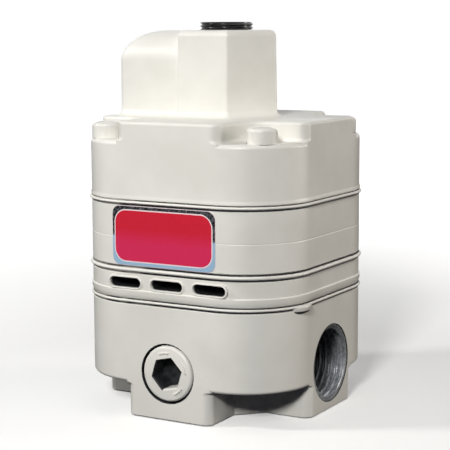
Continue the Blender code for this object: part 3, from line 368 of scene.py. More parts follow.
def turned(name, profile, steps=64, loop=True):
    # a profile of (radius, height) turned round the Z axis; points on the axis become one
    work = bmesh.new()
    made = []
    for radius, z in profile:
        if radius == 0:
            made.append([work.verts.new((0, 0, z))] * steps)
        else:
            made.append([work.verts.new(point) for point in level(circle(radius, steps), z)])
    pairs = list(zip(made, made[1:])) + ([(made[-1], made[0])] if loop else [])
    for below, above in pairs:
        for i in range(steps):
            corners = dict.fromkeys((below[i - 1], below[i], above[i], above[i - 1]))
            if len(corners) > 2:
                work.faces.new(list(corners))
    return newShape(name, work)


def rod(name, radius, start, end, steps=32):
    return turned(name, [(0, end), (radius, end), (radius, start), (0, start)], steps, loop=False)


def cut(item, cutter, operation="DIFFERENCE", shadeInside=False):
    # with it, the cut faces take the dark unpainted casting: painted shade inside the hollow
    for face in cutter.data.polygons:
        face.material_index = int(shadeInside)
    step = item.modifiers.new(operation.lower(), "BOOLEAN")
    step.operation = operation
    step.object = cutter
    step.solver = "EXACT"
    settled = bpy.data.meshes.new_from_object(item.evaluated_get(bpy.context.evaluated_depsgraph_get()))
    item.modifiers.clear()
    item.data = settled
    bpy.data.objects.remove(cutter)
    return item


def moved(item, matrix):
    item.data.transform(matrix)
    return item


def dress(item, material, body="housing", sharp=35, replaces=()):
    # mm to metres, smooth with true flats, then the finish and the body that it rides on
    item.data.transform(Matrix.Scale(mm, 4))
    item.data.materials[0] = material
    item.data.shade_smooth()
    item.data.set_sharp_from_angle(angle=math.radians(sharp))
    flats = item.modifiers.new("flats", "WEIGHTED_NORMAL")
    flats.keep_sharp = True
    flats.weight = 100
    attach(item, body)
    if replaces:
        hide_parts(*replaces)
    return item


def span(node):
    # lowest and highest corner of a CAD node, in mm
    return [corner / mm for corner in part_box(node)]


# Plan of the stack
stack = {
    "half": span("body")[1].x,
    "corner": 19.0,
    "bore": 25.0,
    "cornerSteps": 20,
    "screwReach": 24.2,
    "screwHole": 2.75,
    "flush": 0.01,           # mm, keeps flush walls from lying in one plane
    "sunk": 0.5,             # how far a form runs into the one under it
}


def square(offset=0.0):
    half, radius = stack["half"] + offset, stack["corner"] + offset
    middle = half - radius
    outline = []
    for quarter, (x, y) in enumerate(((1, -1), (1, 1), (-1, 1), (-1, -1))):
        start = 90 * (quarter - 1)
        outline += arcPoints((x * middle, y * middle), radius, start, start + 90, stack["cornerSteps"])
    return outline


def boreRing(radius):
    # a circle whose points face those of the square
    return [tuple(Vector(point).normalized() * radius) for point in square()]


def screwHoles(shape, low, high):
    reach = stack["screwReach"]
    for x in (-reach, reach):
        for y in (-reach, reach):
            hole = rod("screw_hole", stack["screwHole"], low, high)
            cut(shape, moved(hole, Matrix.Translation((x, y, 0))))


def polygon(sides, apothem, radius, steps):
    reach = (apothem - radius) / math.cos(math.pi / sides)
    outline = []
    for corner in range(sides):
        angle = 360 * corner / sides
        middle = (reach * math.cos(math.radians(angle)), reach * math.sin(math.radians(angle)))
        outline += arcPoints(middle, radius, angle - 180 / sides, angle + 180 / sides, steps)
    return outline


def cross(inset, reach, round1, bite, wall, steps):
    # plus-shaped plan: four arms flush with the walls. bite gives the notch between two arms.
    outline = []
    edge, soft = reach - inset, round1 - inset
    for quarter in range(4):
        corner = arcPoints((reach - round1, round1 - wall), soft, -90, 0, steps)
        corner += bite(inset)
        corner += arcPoints((wall - round1, round1 - reach), soft, -90, 0, steps)
        turn = Matrix.Rotation(math.radians(90 * quarter), 2)
        outline += [tuple(turn @ Vector(point)) for point in corner]
    return outline


def clamped(outline, limit):
    return [(max(-limit, min(limit, x)), max(-limit, min(limit, y))) for x, y in outline]


def quarterTurn(steps):
    return [math.radians(90 * i / steps) for i in range(steps + 1)]


# Bonnet
bonnet = {
    "wall": 15.75,           # mm from the joint to the pocket floors
    "rimEdge": 1.2,
    "lip": (1.3, 0.2),       # height and reach of the lip at the joint
    "lipEdge": (0.25, 0.35),  # its chamfer below and its slope above
    "lap": 0.1,
    "plateau": 5.2,
    "plateauEdge": 0.9,
    "plateauRound": 3.0,
    "pocket": 8.4,
    "foot": 0.9,             # fillet at the pocket floors
    "tower": 13.45,
    "draft": 0.35,
    "towerRound": 1.0,
    "towerEdge": 1.8,
    "towerLeast": 0.3,       # least round of its corners at the top
    "fillet": 2.0,
    "lobe": (27.9, 12.6),    # reach to the left and half its width
    "lobeEdge": 8.5,
    "lobeRound": 2.0,
    "lobeRidge": 0.2,        # half the width that is left flat at its top
    "lobeDrop": 0.05,        # under the tower's top
    "chamber": (24.0, 15.0),
    "room": (11.0, 16.0),    # heights of the chamber's wall and crown over the joint
    "port": (6.4, 12.0),
    "passage": 3.2,
    "steps": 8,
}


def bonnetPieces():
    use, steps = bonnet, bonnet["steps"]
    low, towerTop = span("bonnet")[0].z, span("bonnet")[1].z
    rim = low + use["wall"]
    plateau = rim + use["plateau"]
    lipHigh, lipOut = use["lip"]
    under, over = use["lipEdge"]
    rings = [level(square(lipOut - under), low), level(square(lipOut), low + under)]
    rings += [level(square(lipOut), low + lipHigh - over), level(square(0), low + lipHigh)]
    for angle in quarterTurn(steps):
        inset = use["rimEdge"] * (1 - math.cos(angle))
        rings.append(level(square(-inset), rim - use["rimEdge"] * (1 - math.sin(angle))))
    shape = skin("bonnet_casting", rings)

    wall = stack["half"] - stack["flush"]
    reach = stack["screwReach"] - use["pocket"]

    def bite(inset):
        centre = (stack["screwReach"], -stack["screwReach"])
        return arcPoints(centre, use["pocket"] + inset, 180, 90, 2 * steps)

    def plan(inset):
        return clamped(cross(inset, reach, use["plateauRound"], bite, wall, steps), wall)

    foot, edge = use["foot"], use["plateauEdge"]
    rings = [level(plan(-foot), rim - use["rimEdge"] - use["lap"])]
    for angle in quarterTurn(steps):
        rings.append(level(plan(-foot * (1 - math.sin(angle))), rim + foot * (1 - math.cos(angle))))
    for angle in quarterTurn(steps):
        rings.append(level(plan(edge * (1 - math.cos(angle))), plateau - edge * (1 - math.sin(angle))))
    cut(shape, skin("plateau", rings), "UNION")

    fillet, root = use["fillet"], use["tower"] + use["draft"]
    corner = use["towerRound"]
    rings = [level(polygon(6, root + fillet, corner + fillet, steps), plateau - stack["sunk"])]
    for angle in quarterTurn(steps):
        out, z = fillet * (1 - math.sin(angle)), plateau + fillet * (1 - math.cos(angle))
        rings.append(level(polygon(6, root + out, corner + out, steps), z))
    for angle in quarterTurn(steps):
        inset = use["towerEdge"] * (1 - math.cos(angle))
        z = towerTop - use["towerEdge"] * (1 - math.sin(angle))
        outline = polygon(6, use["tower"] - inset, max(corner - inset, use["towerLeast"]), steps)
        rings.append(level(outline, z))
    cut(shape, skin("tower", rings), "UNION")

    left, half = use["lobe"]

    def lobePlan(grow):
        radius = min(use["lobeRound"] + abs(grow) / 2, half + grow - use["lobeRidge"])
        edge = -left - grow
        outline = [(0, -half - grow), (0, half + grow)]
        outline += arcPoints((edge + radius, half + grow - radius), radius, 90, 180, steps)
        return outline + arcPoints((edge + radius, radius - half - grow), radius, 180, 270, steps)

    rings = [level(lobePlan(fillet), plateau - stack["sunk"])]
    for angle in quarterTurn(steps):
        z = plateau + fillet * (1 - math.cos(angle))
        rings.append(level(lobePlan(fillet * (1 - math.sin(angle))), z))
    for angle in quarterTurn(3 * steps):
        z = towerTop - use["lobeDrop"] - use["lobeEdge"] * (1 - math.sin(angle))
        rings.append(level(lobePlan(-use["lobeEdge"] * (1 - math.cos(angle))), z))
    cut(shape, skin("lobe", rings), "UNION")

    wide, crownRadius = use["chamber"]
    roof, crown = (low + height for height in use["room"])
    portRadius, portDepth = use["port"]
    floor = towerTop - portDepth
    hollow = [(0, towerTop + past), (portRadius, towerTop + past), (portRadius, floor),
              (use["passage"], floor), (use["passage"], crown), (crownRadius, crown),
              (wide, roof), (wide, low - past), (0, low - past)]
    cut(shape, turned("signal_chamber", hollow, loop=False), shadeInside=True)
    screwHoles(shape, low - past, plateau)
    dress(shape, paint, replaces=["bonnet"])


bonnetPieces()
print("volume booster: bonnet")

# Rings of the stack
rings = {
    "edge": 0.3,
    # level of the parting line on the upper ring, and its (offset, rise) points from below
    "parting": 49.3,
    "groove": ((0.05, -0.3), (-0.07, -0.05), (-0.07, 0.05), (0.02, 0.35)),
    # the same for the step low on the lower ring
    "ridge": 34.9,
    "crest": ((0.3, -1.2), (0.3, -0.1), (0, 0.2)),
}


def stackRing(name, node, marks):
    # marks are (offset, level) points up the outer wall
    low, high = span(node)[0].z, span(node)[1].z
    edge = rings["edge"]
    wall = [(-edge, low), (0, low + edge)] + marks + [(0, high - edge), (-edge, high)]
    profile = [level(boreRing(stack["bore"]), low)]
    profile += [level(square(offset), z) for offset, z in wall]
    profile.append(level(boreRing(stack["bore"]), high))
    shape = skin(name, profile, loop=True)
    screwHoles(shape, low - past, high + past)
    return shape


def upperRing():
    z = rings["parting"]
    marks = [(offset, z + rise) for offset, rise in rings["groove"]]
    dress(stackRing("upper_ring", "spacer_ring", marks), paint, replaces=["spacer_ring"])


slots = {
    "count": 3,
    "pitch": 13.1,
    "size": (9.8, 2.6),
    "level": 36.85,
    # growth of the slot, and how far out of the wall
    "mouth": ((0.35, past), (0.35, 0.02), (0.1, -0.15), (0, -0.5)),
    "inner": 15,             # mm from the axis, where the slots' cutters end
    "rim": 0.55,
    "proud": 0.3,
    "lip": ((0.0, 0.4), (0.25, 0.9), (0.5, 1.0), (0.75, 0.85), (1.0, 0.3)),  # shares of rim and proud
    "skirt": (1.2, -0.05),   # share of the rim and level, where the lip meets the wall
}


def stadium(width, height, steps=10):
    end = height / 2
    reach = width / 2 - end
    return arcPoints((reach, 0), end, -90, 90, steps) + arcPoints((-reach, 0), end, 90, 270, steps)


def lowerRing():
    use = slots
    z = rings["ridge"]
    marks = [(offset, z + rise) for offset, rise in rings["crest"]]
    shape = stackRing("lower_ring", "exhaust_ring", marks)
    width, height = use["size"]
    front = stack["half"]
    for i in range(use["count"]):
        x = (i - (use["count"] - 1) / 2) * use["pitch"]
        facing = Matrix.Translation((x, 0, use["level"])) @ Matrix.Rotation(math.pi / 2, 4, "X")
        steps = [(grow, front + out) for grow, out in use["mouth"]] + [(0, use["inner"])]
        shaft = [level(stadium(width + 2 * grow, height + 2 * grow), depth) for grow, depth in steps]
        cut(shape, moved(skin("slot", shaft), facing), shadeInside=True)
        rim, proud = use["rim"], use["proud"]
        lip = [(rim * across, proud * up) for across, up in use["lip"]]
        skirt, under = use["skirt"]
        lip = [(0.0, -past), *lip, (rim * skirt, under), (rim, -past)]
        bead = [level(stadium(width + 2 * grow, height + 2 * grow), front + out) for grow, out in lip]
        dress(moved(skin(f"slot_rim_{i + 1}", bead, loop=True), facing), paint, sharp=60)
    dress(shape, paint, replaces=["exhaust_ring"])


upperRing()
lowerRing()
print("volume booster: rings and exhaust slots")

# Beads: the edges of the seals between the castings, painted over
beads = {
    # node, level, half the height, reach over the wall, dark joint above and below; the band below is
    # wider, as painted shade under the bead
    "signal": ("signal_diaphragm", 58.65, 0.4, 0.66, 0.22, 0.42),
    "middle": ("ring_gasket", 40.5, 0.5, 0.68, 0.22, 0.4),
    "control": ("control_diaphragm", 31.95, 0.36, 0.45, 0.22, 0.36),
    "depth": 5.0,
    "joint": 0.03,           # mm, how far the dark joints stand out
    "lap": 0.02,
    "steps": 12,
}


def beadRing(name, middle, half, proud, above, below, replaces=()):
    joint, high, low = beads["joint"], middle + half + above, middle - half - below
    section = [(-beads["depth"], high), (joint, high), (joint, middle + half)]
    for i in range(beads["steps"] + 1):
        angle = math.radians(90 - 180 * i / beads["steps"])
        section.append((proud * math.cos(angle) - beads["lap"], middle + half * math.sin(angle)))
    section += [(joint, middle - half), (joint, low), (-beads["depth"], low)]
    shape = skin(name, [level(square(offset), z) for offset, z in section], loop=True)
    shape.data.materials[1] = jointAndShade
    # faces beyond the bead take the dark joint colour: the real joint, and below the bead also painted
    # shade
    for face in shape.data.polygons:
        face.material_index = int(abs(face.center.z - middle) > half)
    return dress(shape, paint, sharp=60, replaces=replaces)


tab = {
    "radius": 6.0,
    "angle": -8.5,           # degrees round the front right corner
    "proud": 1.25,
    "thick": 2.5,
    "edge": (0.8, 0.5),      # inset and height of the upper rounding
    "belly": (1.5, 1.8),     # inset and height of the lower rounding
    "rubber": (0.75, 0.1),   # level up to which the underside is dark rubber, painted shade under the tongue, and how far it goes down
    "steps": 6,
}


def diaphragmTab():
    # the round tongue of the third seal, hanging over the wall below; its dark rubber underside is
    # painted shade
    use = tab
    middle = stack["half"] - stack["corner"]
    turn = math.radians(use["angle"])
    out = Vector((math.cos(turn), math.sin(turn)))
    centre = Vector((middle, -middle)) + out * (stack["corner"] + use["proud"] - use["radius"])
    top = beads["control"][1] + beads["control"][2]
    low = top - use["thick"]
    bare, under = use["rubber"]
    inset, height = use["belly"]
    rings = [(inset, low - under)]
    for angle in reversed(quarterTurn(use["steps"])):
        rings.append((inset * (1 - math.cos(angle)), low + height * (1 - math.sin(angle))))
    inset, height = use["edge"]
    for angle in quarterTurn(use["steps"]):
        rings.append((inset * (1 - math.cos(angle)), top - height * (1 - math.sin(angle))))
    path = [level(circle(use["radius"] - inset, 64, centre), z) for inset, z in rings]
    shape = skin("diaphragm_tab", path)
    shape.data.materials[1] = finishes["valve_rubber"]
    # faces low on the tongue take dark rubber: painted shade under it
    for face in shape.data.polygons:
        face.material_index = int(face.center.z < low + bare)
    dress(shape, paint, sharp=60)


def copied(name, node):
    # a CAD piece's own shape, in mm
    mesh = frame["nodes"][node].data.copy()
    mesh.transform(Matrix.Scale(1 / mm, 4) @ frame["nodes"][node].matrix_world)
    shape = bpy.data.objects.new(name, mesh)
    bpy.context.scene.collection.objects.link(shape)
    return shape


membrane = {
    "web": 20.5,             # radius of the part that the pistons carry
    "leg": 20.7,             # where the fixed part with the fold starts
    "trim": 0.05,            # how far its edge stays under the wall, behind the bead
}


def membranePieces(key):
    # a rolling seal as it is inside: its fold stays with the castings, its middle goes with the hub
    node, rubber = beads[key][0], finishes["valve_rubber"]
    low, high = span(node)
    bottom, top = low.z - past, high.z + past
    trim = skin("trim", [level(square(-membrane["trim"]), z) for z in (bottom, top)])
    fold = cut(copied(f"{key}_fold", node), trim, "INTERSECT")
    cut(fold, rod("disc", membrane["leg"], top, bottom, 96))
    dress(fold, rubber, replaces=[node])
    web = cut(copied(f"{key}_web", node), rod("disc", membrane["web"], top, bottom, 96), "INTERSECT")
    dress(web, rubber, "hub")


def valveCoil():
    # the CAD valve spring as it is; in the part it gives way under the valve by 1.25 mm, a hair more than
    # the valve's travel
    coil = dress(copied("valve_coil", "valve_spring"), finishes[slotOf["valve_spring"]],
                 replaces=["valve_spring"])
    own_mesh(coil)


membranePieces("signal")
membranePieces("control")
valveCoil()
diaphragmTab()
for key in ("signal", "middle", "control"):
    node, *sizes = beads[key]
    beadRing(f"{key}_bead", *sizes, ["ring_gasket"] if node == "ring_gasket" else ())
print("volume booster: beads")

# Base casting
base = {
    "wallLow": 9.4,
    "wallEdge": 1.0,
    "topEdge": 0.4,
    "boss": 13.0,
    "bossRound": 2.5,
    "bossEdge": 0.6,
    "core": 19.2,
    "foot": 1.0,
    "port": (10.6, 15.7, 0.3),       # radius, depth and mouth chamfer
    "gauge": (8.1, 10.5, 0.15),
    "portLevel": 13.05,
    "recess": (22.0, 5.4),
    "outlet": 12.0,
    "supply": 9.0,
    # ways from the supply and the outlet port: depth under the wall, inner end's x, level, radius
    "ways": ((16.0, -4.0, 9.8, 4.8), (15.0, 6.0, 21.9, 2.6)),
    "seatWall": (15.0, 18.0),
    "seatHole": 6.1,
    "grip": 11.6,
    "steps": 8,
}


def portFacing(turn):
    return (Matrix.Translation((0, 0, base["portLevel"])) @ Matrix.Rotation(math.radians(turn), 4, "Z")
            @ Matrix.Rotation(math.pi / 2, 4, "Y"))


def bodyCasting():
    use, steps = base, base["steps"]
    high, half = span("body")[1].z, stack["half"]
    edge = use["wallEdge"]
    rings = []
    for angle in reversed(quarterTurn(steps)):
        z = use["wallLow"] + edge * (1 - math.sin(angle))
        rings.append(level(square(-edge * (1 - math.cos(angle))), z))
    rings += [level(square(0), high - use["topEdge"]), level(square(-use["topEdge"]), high)]
    shape = skin("base_casting", rings)

    wall = half - stack["flush"]
    boss, core = use["boss"], use["core"]

    def bite(inset):
        return [(boss - inset, -core), (core, inset - boss)]

    def plan(inset):
        return clamped(cross(inset, boss, use["bossRound"], bite, wall - max(inset, 0), steps), wall)

    rings, bossEdge, foot = [], use["bossEdge"], use["foot"]
    for angle in reversed(quarterTurn(steps)):
        rings.append(level(plan(bossEdge * (1 - math.cos(angle))), bossEdge * (1 - math.sin(angle))))
    for angle in reversed(quarterTurn(steps)):
        z = use["wallLow"] - foot * (1 - math.cos(angle))
        rings.append(level(plan(-foot * (1 - math.sin(angle))), z))
    rings.append(level(plan(-foot), use["wallLow"] + edge + stack["sunk"]))
    cut(shape, skin("bosses", rings), "UNION")

    recess, depth = use["recess"]
    low, top = use["seatWall"]
    floor = high - depth
    bore = [(0, high + past), (recess, high + past), (recess, floor), (use["outlet"], floor),
            (use["outlet"], top), (use["seatHole"], top), (use["seatHole"], low),
            (use["supply"], low), (use["supply"], -past), (0, -past)]
    cut(shape, turned("bore", bore, loop=False), shadeInside=True)
    for kind, turns in (("port", (0, 180)), ("gauge", (90, 270))):
        radius, deep, chamfer = use[kind]
        mouth = [(0, half + past), (radius + chamfer + past, half + past), (radius + chamfer, half),
                 (radius, half - chamfer), (radius, half - deep), (0, half - deep)]
        for turn in turns:
            cut(shape, moved(turned("mouth", mouth, 96, loop=False), portFacing(turn)), shadeInside=True)
    for side, (depth, end, z, radius) in zip((-1, 1), use["ways"]):
        start, end = sorted((side * (half - depth), end))
        lying = Matrix.Translation((0, 0, z)) @ Matrix.Rotation(math.pi / 2, 4, "Y")
        cut(shape, moved(rod("way", radius, start, end), lying), shadeInside=True)
    screwHoles(shape, high - use["grip"], high + past)
    dress(shape, paint, replaces=["body"])


bodyCasting()
print("volume booster: base casting")

# Tapped threads in the main ports
thread = {
    "pitch": 1.814,          # mm, 14 threads to the inch
    "root": 10.55,
    "crest": 9.35,
    "length": 15.4,
    "lift": 0.1,             # over the port's floor
    "back": 10.58,           # radius of its outside, behind the roots
    "flank": 1.1,            # above 1, the roots are flat
    "taper": 1 / 32,
    "around": 96,
    "perTurn": 10,
}


def portThread(name, turn):
    use = thread
    count = int(use["length"] / use["pitch"] * use["perTurn"])
    deep = stack["half"] - base["port"][1] + use["lift"]
    rings = []
    for i in range(count + 1):
        out = use["length"] * i / count
        ring = []
        for j in range(use["around"]):
            angle = 2 * math.pi * j / use["around"]
            phase = (out / use["pitch"] + j / use["around"]) % 1
            tooth = min(1.0, use["flank"] * abs(2 * phase - 1))
            radius = use["crest"] + (use["root"] - use["crest"]) * tooth
            radius -= (use["length"] - out) * use["taper"]
            ring.append((radius * math.cos(angle), radius * math.sin(angle), deep + out))
        rings.append(ring)
    for z in (deep + use["length"], deep):
        rings.append(level(circle(use["back"], use["around"]), z))
    shape = moved(skin(name, rings, loop=True), portFacing(turn))
    dress(shape, tapped, sharp=60)


tapped = tappedAluminium()
portThread("outlet_thread", 0)
portThread("supply_thread", 180)
print("volume booster: port threads")

# Socket plugs in the gauge ports
socketPlug = {
    "radius": 7.65,
    "proud": 0.45,           # mm over the wall
    "edge": 0.9,
    "dome": 0.25,
    "crown": (0.6, 0.2),     # where the dome starts to fall: shares of the radius and of the dome
    "length": 8.0,
    "hex": 7.9,
    "hexRound": 0.15,
    "mouth": (0.35, 0.42),   # reach and depth of the socket's chamfer
    "depth": 5.5,
    "turn": 13.0,
    "lit": (-0.55, 0.8, 0),  # the socket's walls that face this way stay pale and the others dark: painted light and shade
    "litFrom": 0.35,
    "arcs": (100, 22, -52),  # middles of the raised arcs, degrees
    "arc": (5.7, 0.28, 15),  # radius, half width, half angle
    # its section: share of the half width, rise over the face
    "section": ((1, -0.6), (1, -0.15), (0.5, 0.12), (-0.5, 0.12), (-1, -0.1), (-1, -0.6)),
    "steps": 8,
}


def gaugePlug(node, side):
    use, steps = socketPlug, socketPlug["steps"]
    face = stack["half"] + use["proud"]
    edge, whole, dome = use["edge"], use["radius"], use["dome"]
    radiusShare, domeShare = use["crown"]
    profile = [(0, face), (whole * radiusShare, face - dome * domeShare)]
    for angle in quarterTurn(steps):
        z = face - dome - edge * (1 - math.cos(angle))
        profile.append((whole - edge * (1 - math.sin(angle)), z))
    profile += [(whole, face - use["length"]), (0, face - use["length"])]
    shape = turned(f"{node}_piece", profile, 96, loop=False)
    across, (mouth, lead) = use["hex"] / 2, use["mouth"]
    well = [(mouth + past, face + past), (mouth, face), (0, face - lead), (0, face - use["depth"])]
    socket = [level(polygon(6, across + grow, use["hexRound"], 2), z) for grow, z in reversed(well)]
    turn = Matrix.Rotation(math.radians(use["turn"]), 4, "Z")
    cut(shape, moved(skin("socket", socket), turn), shadeInside=True)
    # socket walls facing the light keep the paint colour, the rest stay dark: painted light and shade
    for wall in shape.data.polygons:
        if wall.material_index and wall.normal.dot(Vector(use["lit"])) > use["litFrom"]:
            wall.material_index = 0
    radius, half, sweep = use["arc"]
    for middle in use["arcs"]:
        start, end = middle - sweep, middle + sweep
        path = [level(arcPoints((0, 0), radius + half * share, start, end, 12), face + rise)
                for share, rise in use["section"]]
        cut(shape, skin("arc", [list(ring) for ring in zip(*path)]), "UNION")
    facing = Matrix.Translation((0, 0, base["portLevel"])) @ Matrix.Rotation(-side * math.pi / 2, 4, "X")
    dress(moved(shape, facing), paint, replaces=[node])


gaugePlug("gauge_plug_front", -1)
gaugePlug("gauge_plug_back", 1)

# Bonnet screws, painted with the casting
screw = {
    "radius": 4.0,
    "edge": 0.9,
    "dome": 0.45,
    "crown": (0.5, 0.3),     # where the dome starts to fall: shares of the radius and of the dome
    "under": 0.15,           # mm under the CAD head's top
    "seat": 0.05,            # mm that the head runs into the pocket's floor
    "shank": 2.4,
    "tip": (1.6, 0.8),       # radius and height
    "slot": (1.1, 0.9),      # width and depth
    "slotSides": (0.35, 0.5, 0.8),   # half widths at floor, middle and mouth: shares of the width
    "slotReach": 9.0,
    "turns": (70, 35, 20, 110),
    "steps": 6,
}


def bonnetScrew(number):
    use = screw
    node = f"bonnet_screw_{number}"
    low, high = span(node)
    x, y = (low.x + high.x) / 2, (low.y + high.y) / 2
    seat = span("bonnet")[0].z + bonnet["wall"] - use["seat"]
    top, edge, whole, dome = high.z - use["under"], use["edge"], use["radius"], use["dome"]
    radiusShare, domeShare = use["crown"]
    profile = [(0, top), (whole * radiusShare, top - dome * domeShare)]
    for angle in quarterTurn(use["steps"]):
        profile.append((whole - edge * (1 - math.sin(angle)), top - dome - edge * (1 - math.cos(angle))))
    shank, (tip, tipHigh) = use["shank"], use["tip"]
    profile += [(whole, seat), (shank, seat), (shank, low.z + tipHigh), (tip, low.z), (0, low.z)]
    shape = turned(f"screw_{number}", profile, 64, loop=False)
    (width, depth), reach = use["slot"], use["slotReach"]
    sides = zip(use["slotSides"], (top - depth, top - depth * 0.5, top + past))
    bar = []
    for share, z in sides:
        half = width * share
        bar.append(level([(-reach, -half), (reach, -half), (reach, half), (-reach, half)], z))
    turn = Matrix.Rotation(math.radians(use["turns"][number - 1]), 4, "Z")
    cut(shape, moved(skin("slot", bar), turn))
    dress(moved(shape, Matrix.Translation((x, y, 0))), paint, replaces=[node])


for number in range(1, 5):
    bonnetScrew(number)
print("volume booster: plugs and screws")

# Nameplate
plate = {
    "round": 2.3,
    "foil": 0.12,            # mm, thickness
    "border": (1.0, 1.15),   # left and right, bottom and top
    "fieldRound": 3.4,
    "ink": 0.05,
    "line": 0.32,            # pale line round the print
    "film": 0.12,            # clear film that reaches past the foil
    "sunk": (0.05, 0.02),    # how far foil and print run into what is under them
    "across": 24,            # steps between the rounded ends
    "least": 0.01,           # half of the height that is left at its very ends
    "steps": 10,
}


def wallAt(x):
    # how far the wall stands out at the front
    half, radius = stack["half"], stack["corner"]
    beyond = max(0.0, abs(x) - (half - radius))
    return half - radius + math.sqrt(radius ** 2 - beyond ** 2)


def bentPlate(name, left, right, low, high, radius, inner, outer, material, replaces=()):
    # a plate with round corners that lies against the wall
    stations = []
    for side in (left, right):
        inward = 1 if side == left else -1
        turn = [side + inward * radius * (1 - math.cos(angle)) for angle in quarterTurn(plate["steps"])]
        stations += turn if side == left else turn[::-1]
    count = plate["across"]
    middle = [left + radius + (right - left - 2 * radius) * i / count for i in range(1, count)]
    stations = sorted(stations + middle)
    rings = []
    for x in stations:
        near = min(x - left, right - x, radius)
        cutBack = radius - math.sqrt(max(0.0, radius ** 2 - (radius - near) ** 2))
        cutBack = min(cutBack, (high - low) / 2 - plate["least"])
        y = wallAt(x)
        rings.append([(x, -y - inner, low + cutBack), (x, -y - outer, low + cutBack),
                      (x, -y - outer, high - cutBack), (x, -y - inner, high - cutBack)])
    dress(skin(name, rings), material, replaces=replaces)


def nameplatePieces():
    use = plate
    film, *_ = newMaterial("clear_film_edge", {"Base Color": "#f2dfe3", "Roughness": 0.3})
    (left, _, low), (right, _, high) = span("nameplate")
    side, upright = use["border"]
    foil, ink, line, over = use["foil"], use["ink"], use["line"], use["film"]
    inWall, inFoil = use["sunk"]
    field = use["fieldRound"]
    # name, inset at the sides, inset above and below, radius, inner and outer face, material
    pieces = (
        ("plate_foil", 0, 0, use["round"], -inWall, foil, finishes["nameplate_foil"]),
        ("plate_print", side, upright, field, foil - inFoil, foil + ink, redFoil()),
        ("plate_line", side - line, upright - line, field + line, foil - inFoil, foil + ink / 2, film),
        ("plate_film", -over, -over, use["round"] + over, -inWall, foil / 2, film),
    )
    for name, across, up, radius, inner, outer, material in pieces:
        bentPlate(name, left + across, right - across, low + up, high - up, radius, inner, outer,
                  material, ["nameplate"] if name == "plate_foil" else ())


nameplatePieces()
print("volume booster: nameplate")

# Plug in the signal port
portPlug = {
    "body": 6.95,
    "crest": 7.4,
    "pitch": 0.98,
    "flank": 2.6,            # above 2, the turns stand apart
    "bottom": 0.05,          # mm over the tower's top
    "edge": 0.25,            # how far the first and the last turn draw in
    "hollow": 4.5,
    "wall": 1.6,             # thickness of its floor
    "skirt": 6.0,            # radius of the part in the port
    "eye": 0.2,              # radius of the moulding point in the floor
    "around": 96,
    "perTurn": 10,
}


def signalPlug():
    use = portPlug
    top, low = span("signal_port_plug")[1].z, span("bonnet")[1].z + use["bottom"]
    count = int((top - low) / use["pitch"] * use["perTurn"])
    rings = []
    for i in range(count + 1):
        z = low + (top - low) * i / count
        ring = []
        for j in range(use["around"]):
            angle = 2 * math.pi * j / use["around"]
            phase = ((z - low) / use["pitch"] - j / use["around"]) % 1
            tooth = max(0.0, 1 - use["flank"] * abs(phase - 0.5))
            radius = use["body"] + (use["crest"] - use["body"]) * tooth
            radius -= use["edge"] if i in (0, count) else 0
            ring.append((radius * math.cos(angle), radius * math.sin(angle), z))
        rings.append(ring)
    floor = span("signal_port_plug")[0].z
    inside, eye, skirt, bottom = use["hollow"], use["eye"], use["skirt"], floor + use["wall"]
    ends = ((inside, top), (inside, bottom), (eye, bottom), (eye, floor), (skirt, floor), (skirt, low))
    rings += [level(circle(radius, use["around"]), z) for radius, z in ends]
    dress(skin("signal_plug", rings, loop=True), finishes["port_plug"], sharp=70,
          replaces=["signal_port_plug"])


signalPlug()
print("volume booster: signal plug")

# Studio
studio = {
    "world": ("#b9c8f4", 0.04),
    "floor": "#e6e6e4",
    "bounce": "#24242c",     # what the floor throws back at the object
    "glow": (0.3, 0.95),     # how bright the floor looks near the object and far from it
    "near": (90, 420),       # mm
    "floorSize": 6000,
    "aim": 55,
    # name, azimuth and elevation in degrees, distance and size in mm, watts, tint
    "lamps": (
        ("left", -143, 33, 480, 60, 1.0, "#fffefc"),
        ("front", -73, 27, 640, 100, 3.04, "#fffefc"),
        ("right", 38, 9, 800, 260, 2.66, "#fff8ee"),
        ("sky", -60, 82, 900, 600, 0.06, "#c4d2ff"),
    ),
}


def white(tree):
    # 1 for rays from the camera, from gloss and from glass
    path = addNode(tree, "LightPath")
    gloss = addNode(tree, "Math", {0: path.outputs["Is Camera Ray"], 1: path.outputs["Is Glossy Ray"]},
                    operation="MAXIMUM")
    return addNode(tree, "Math", {0: gloss.outputs[0], 1: path.outputs["Is Transmission Ray"]},
                   operation="MAXIMUM").outputs[0]


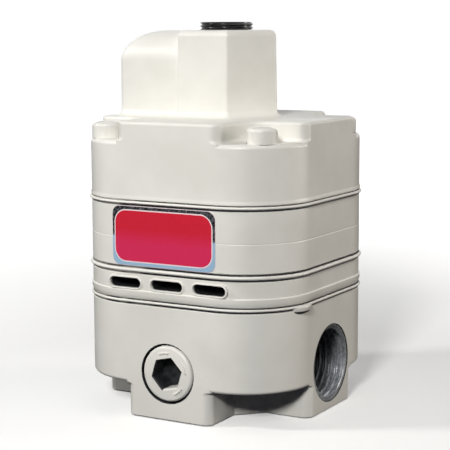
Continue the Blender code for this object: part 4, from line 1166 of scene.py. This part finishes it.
def buildStudio():
    use = studio
    world = bpy.data.worlds.new("studio")
    bpy.context.scene.world = world
    world.use_nodes = True
    tree = world.node_tree
    colour, strength = use["world"]
    sky = tree.nodes["Background"]
    sky.inputs["Color"].default_value = linear(colour)
    sky.inputs["Strength"].default_value = strength
    plain = addNode(tree, "Background", {"Color": (1, 1, 1, 1), "Strength": 1.0})
    pick = addNode(tree, "MixShader", {0: white(tree), 1: sky.outputs[0], 2: plain.outputs[0]})
    tree.links.new(pick.outputs[0], tree.nodes["World Output"].inputs["Surface"])
    aim = Vector((0, 0, use["aim"] * mm))
    for name, azimuth, elevation, distance, size, power, tint in use["lamps"]:
        lamp = bpy.data.lights.new(name, "AREA")
        lamp.size = size * mm
        lamp.energy = power
        lamp.color = linear(tint)[:3]
        item = bpy.data.objects.new(name, lamp)
        tilt = Euler((0, -math.radians(elevation), math.radians(azimuth)))
        out = tilt.to_matrix() @ Vector((distance * mm, 0, 0))
        item.location = aim + out
        item.rotation_euler = (-out).to_track_quat("-Z", "Y").to_euler()
        bpy.context.scene.collection.objects.link(item)
    work = bmesh.new()
    bmesh.ops.create_grid(work, x_segments=1, y_segments=1, size=use["floorSize"])
    floor = newShape("floor", work)
    floor.data.transform(Matrix.Scale(mm, 4))
    sockets = {"Base Color": use["floor"], "Roughness": 0.9}
    material, tree, shader, place = newMaterial("pale_floor", sockets)
    away = addNode(tree, "VectorMath", {0: place}, operation="LENGTH").outputs["Value"]
    near, far = (distance * mm for distance in use["near"])
    glow = addNode(tree, "Emission", {"Color": (1, 1, 1, 1),
                                      "Strength": spread(tree, away, near, far, *use["glow"])})
    seen = addNode(tree, "AddShader", {0: shader.outputs[0], 1: glow.outputs[0]})
    dull = addNode(tree, "BsdfDiffuse", {"Color": linear(use["bounce"])})
    path = addNode(tree, "LightPath")
    parts = {0: path.outputs["Is Camera Ray"], 1: dull.outputs[0], 2: seen.outputs[0]}
    pick = addNode(tree, "MixShader", parts)
    tree.links.new(pick.outputs[0], tree.nodes["Material Output"].inputs["Surface"])
    floor.data.materials[0] = material


buildStudio()
print("volume booster: studio")
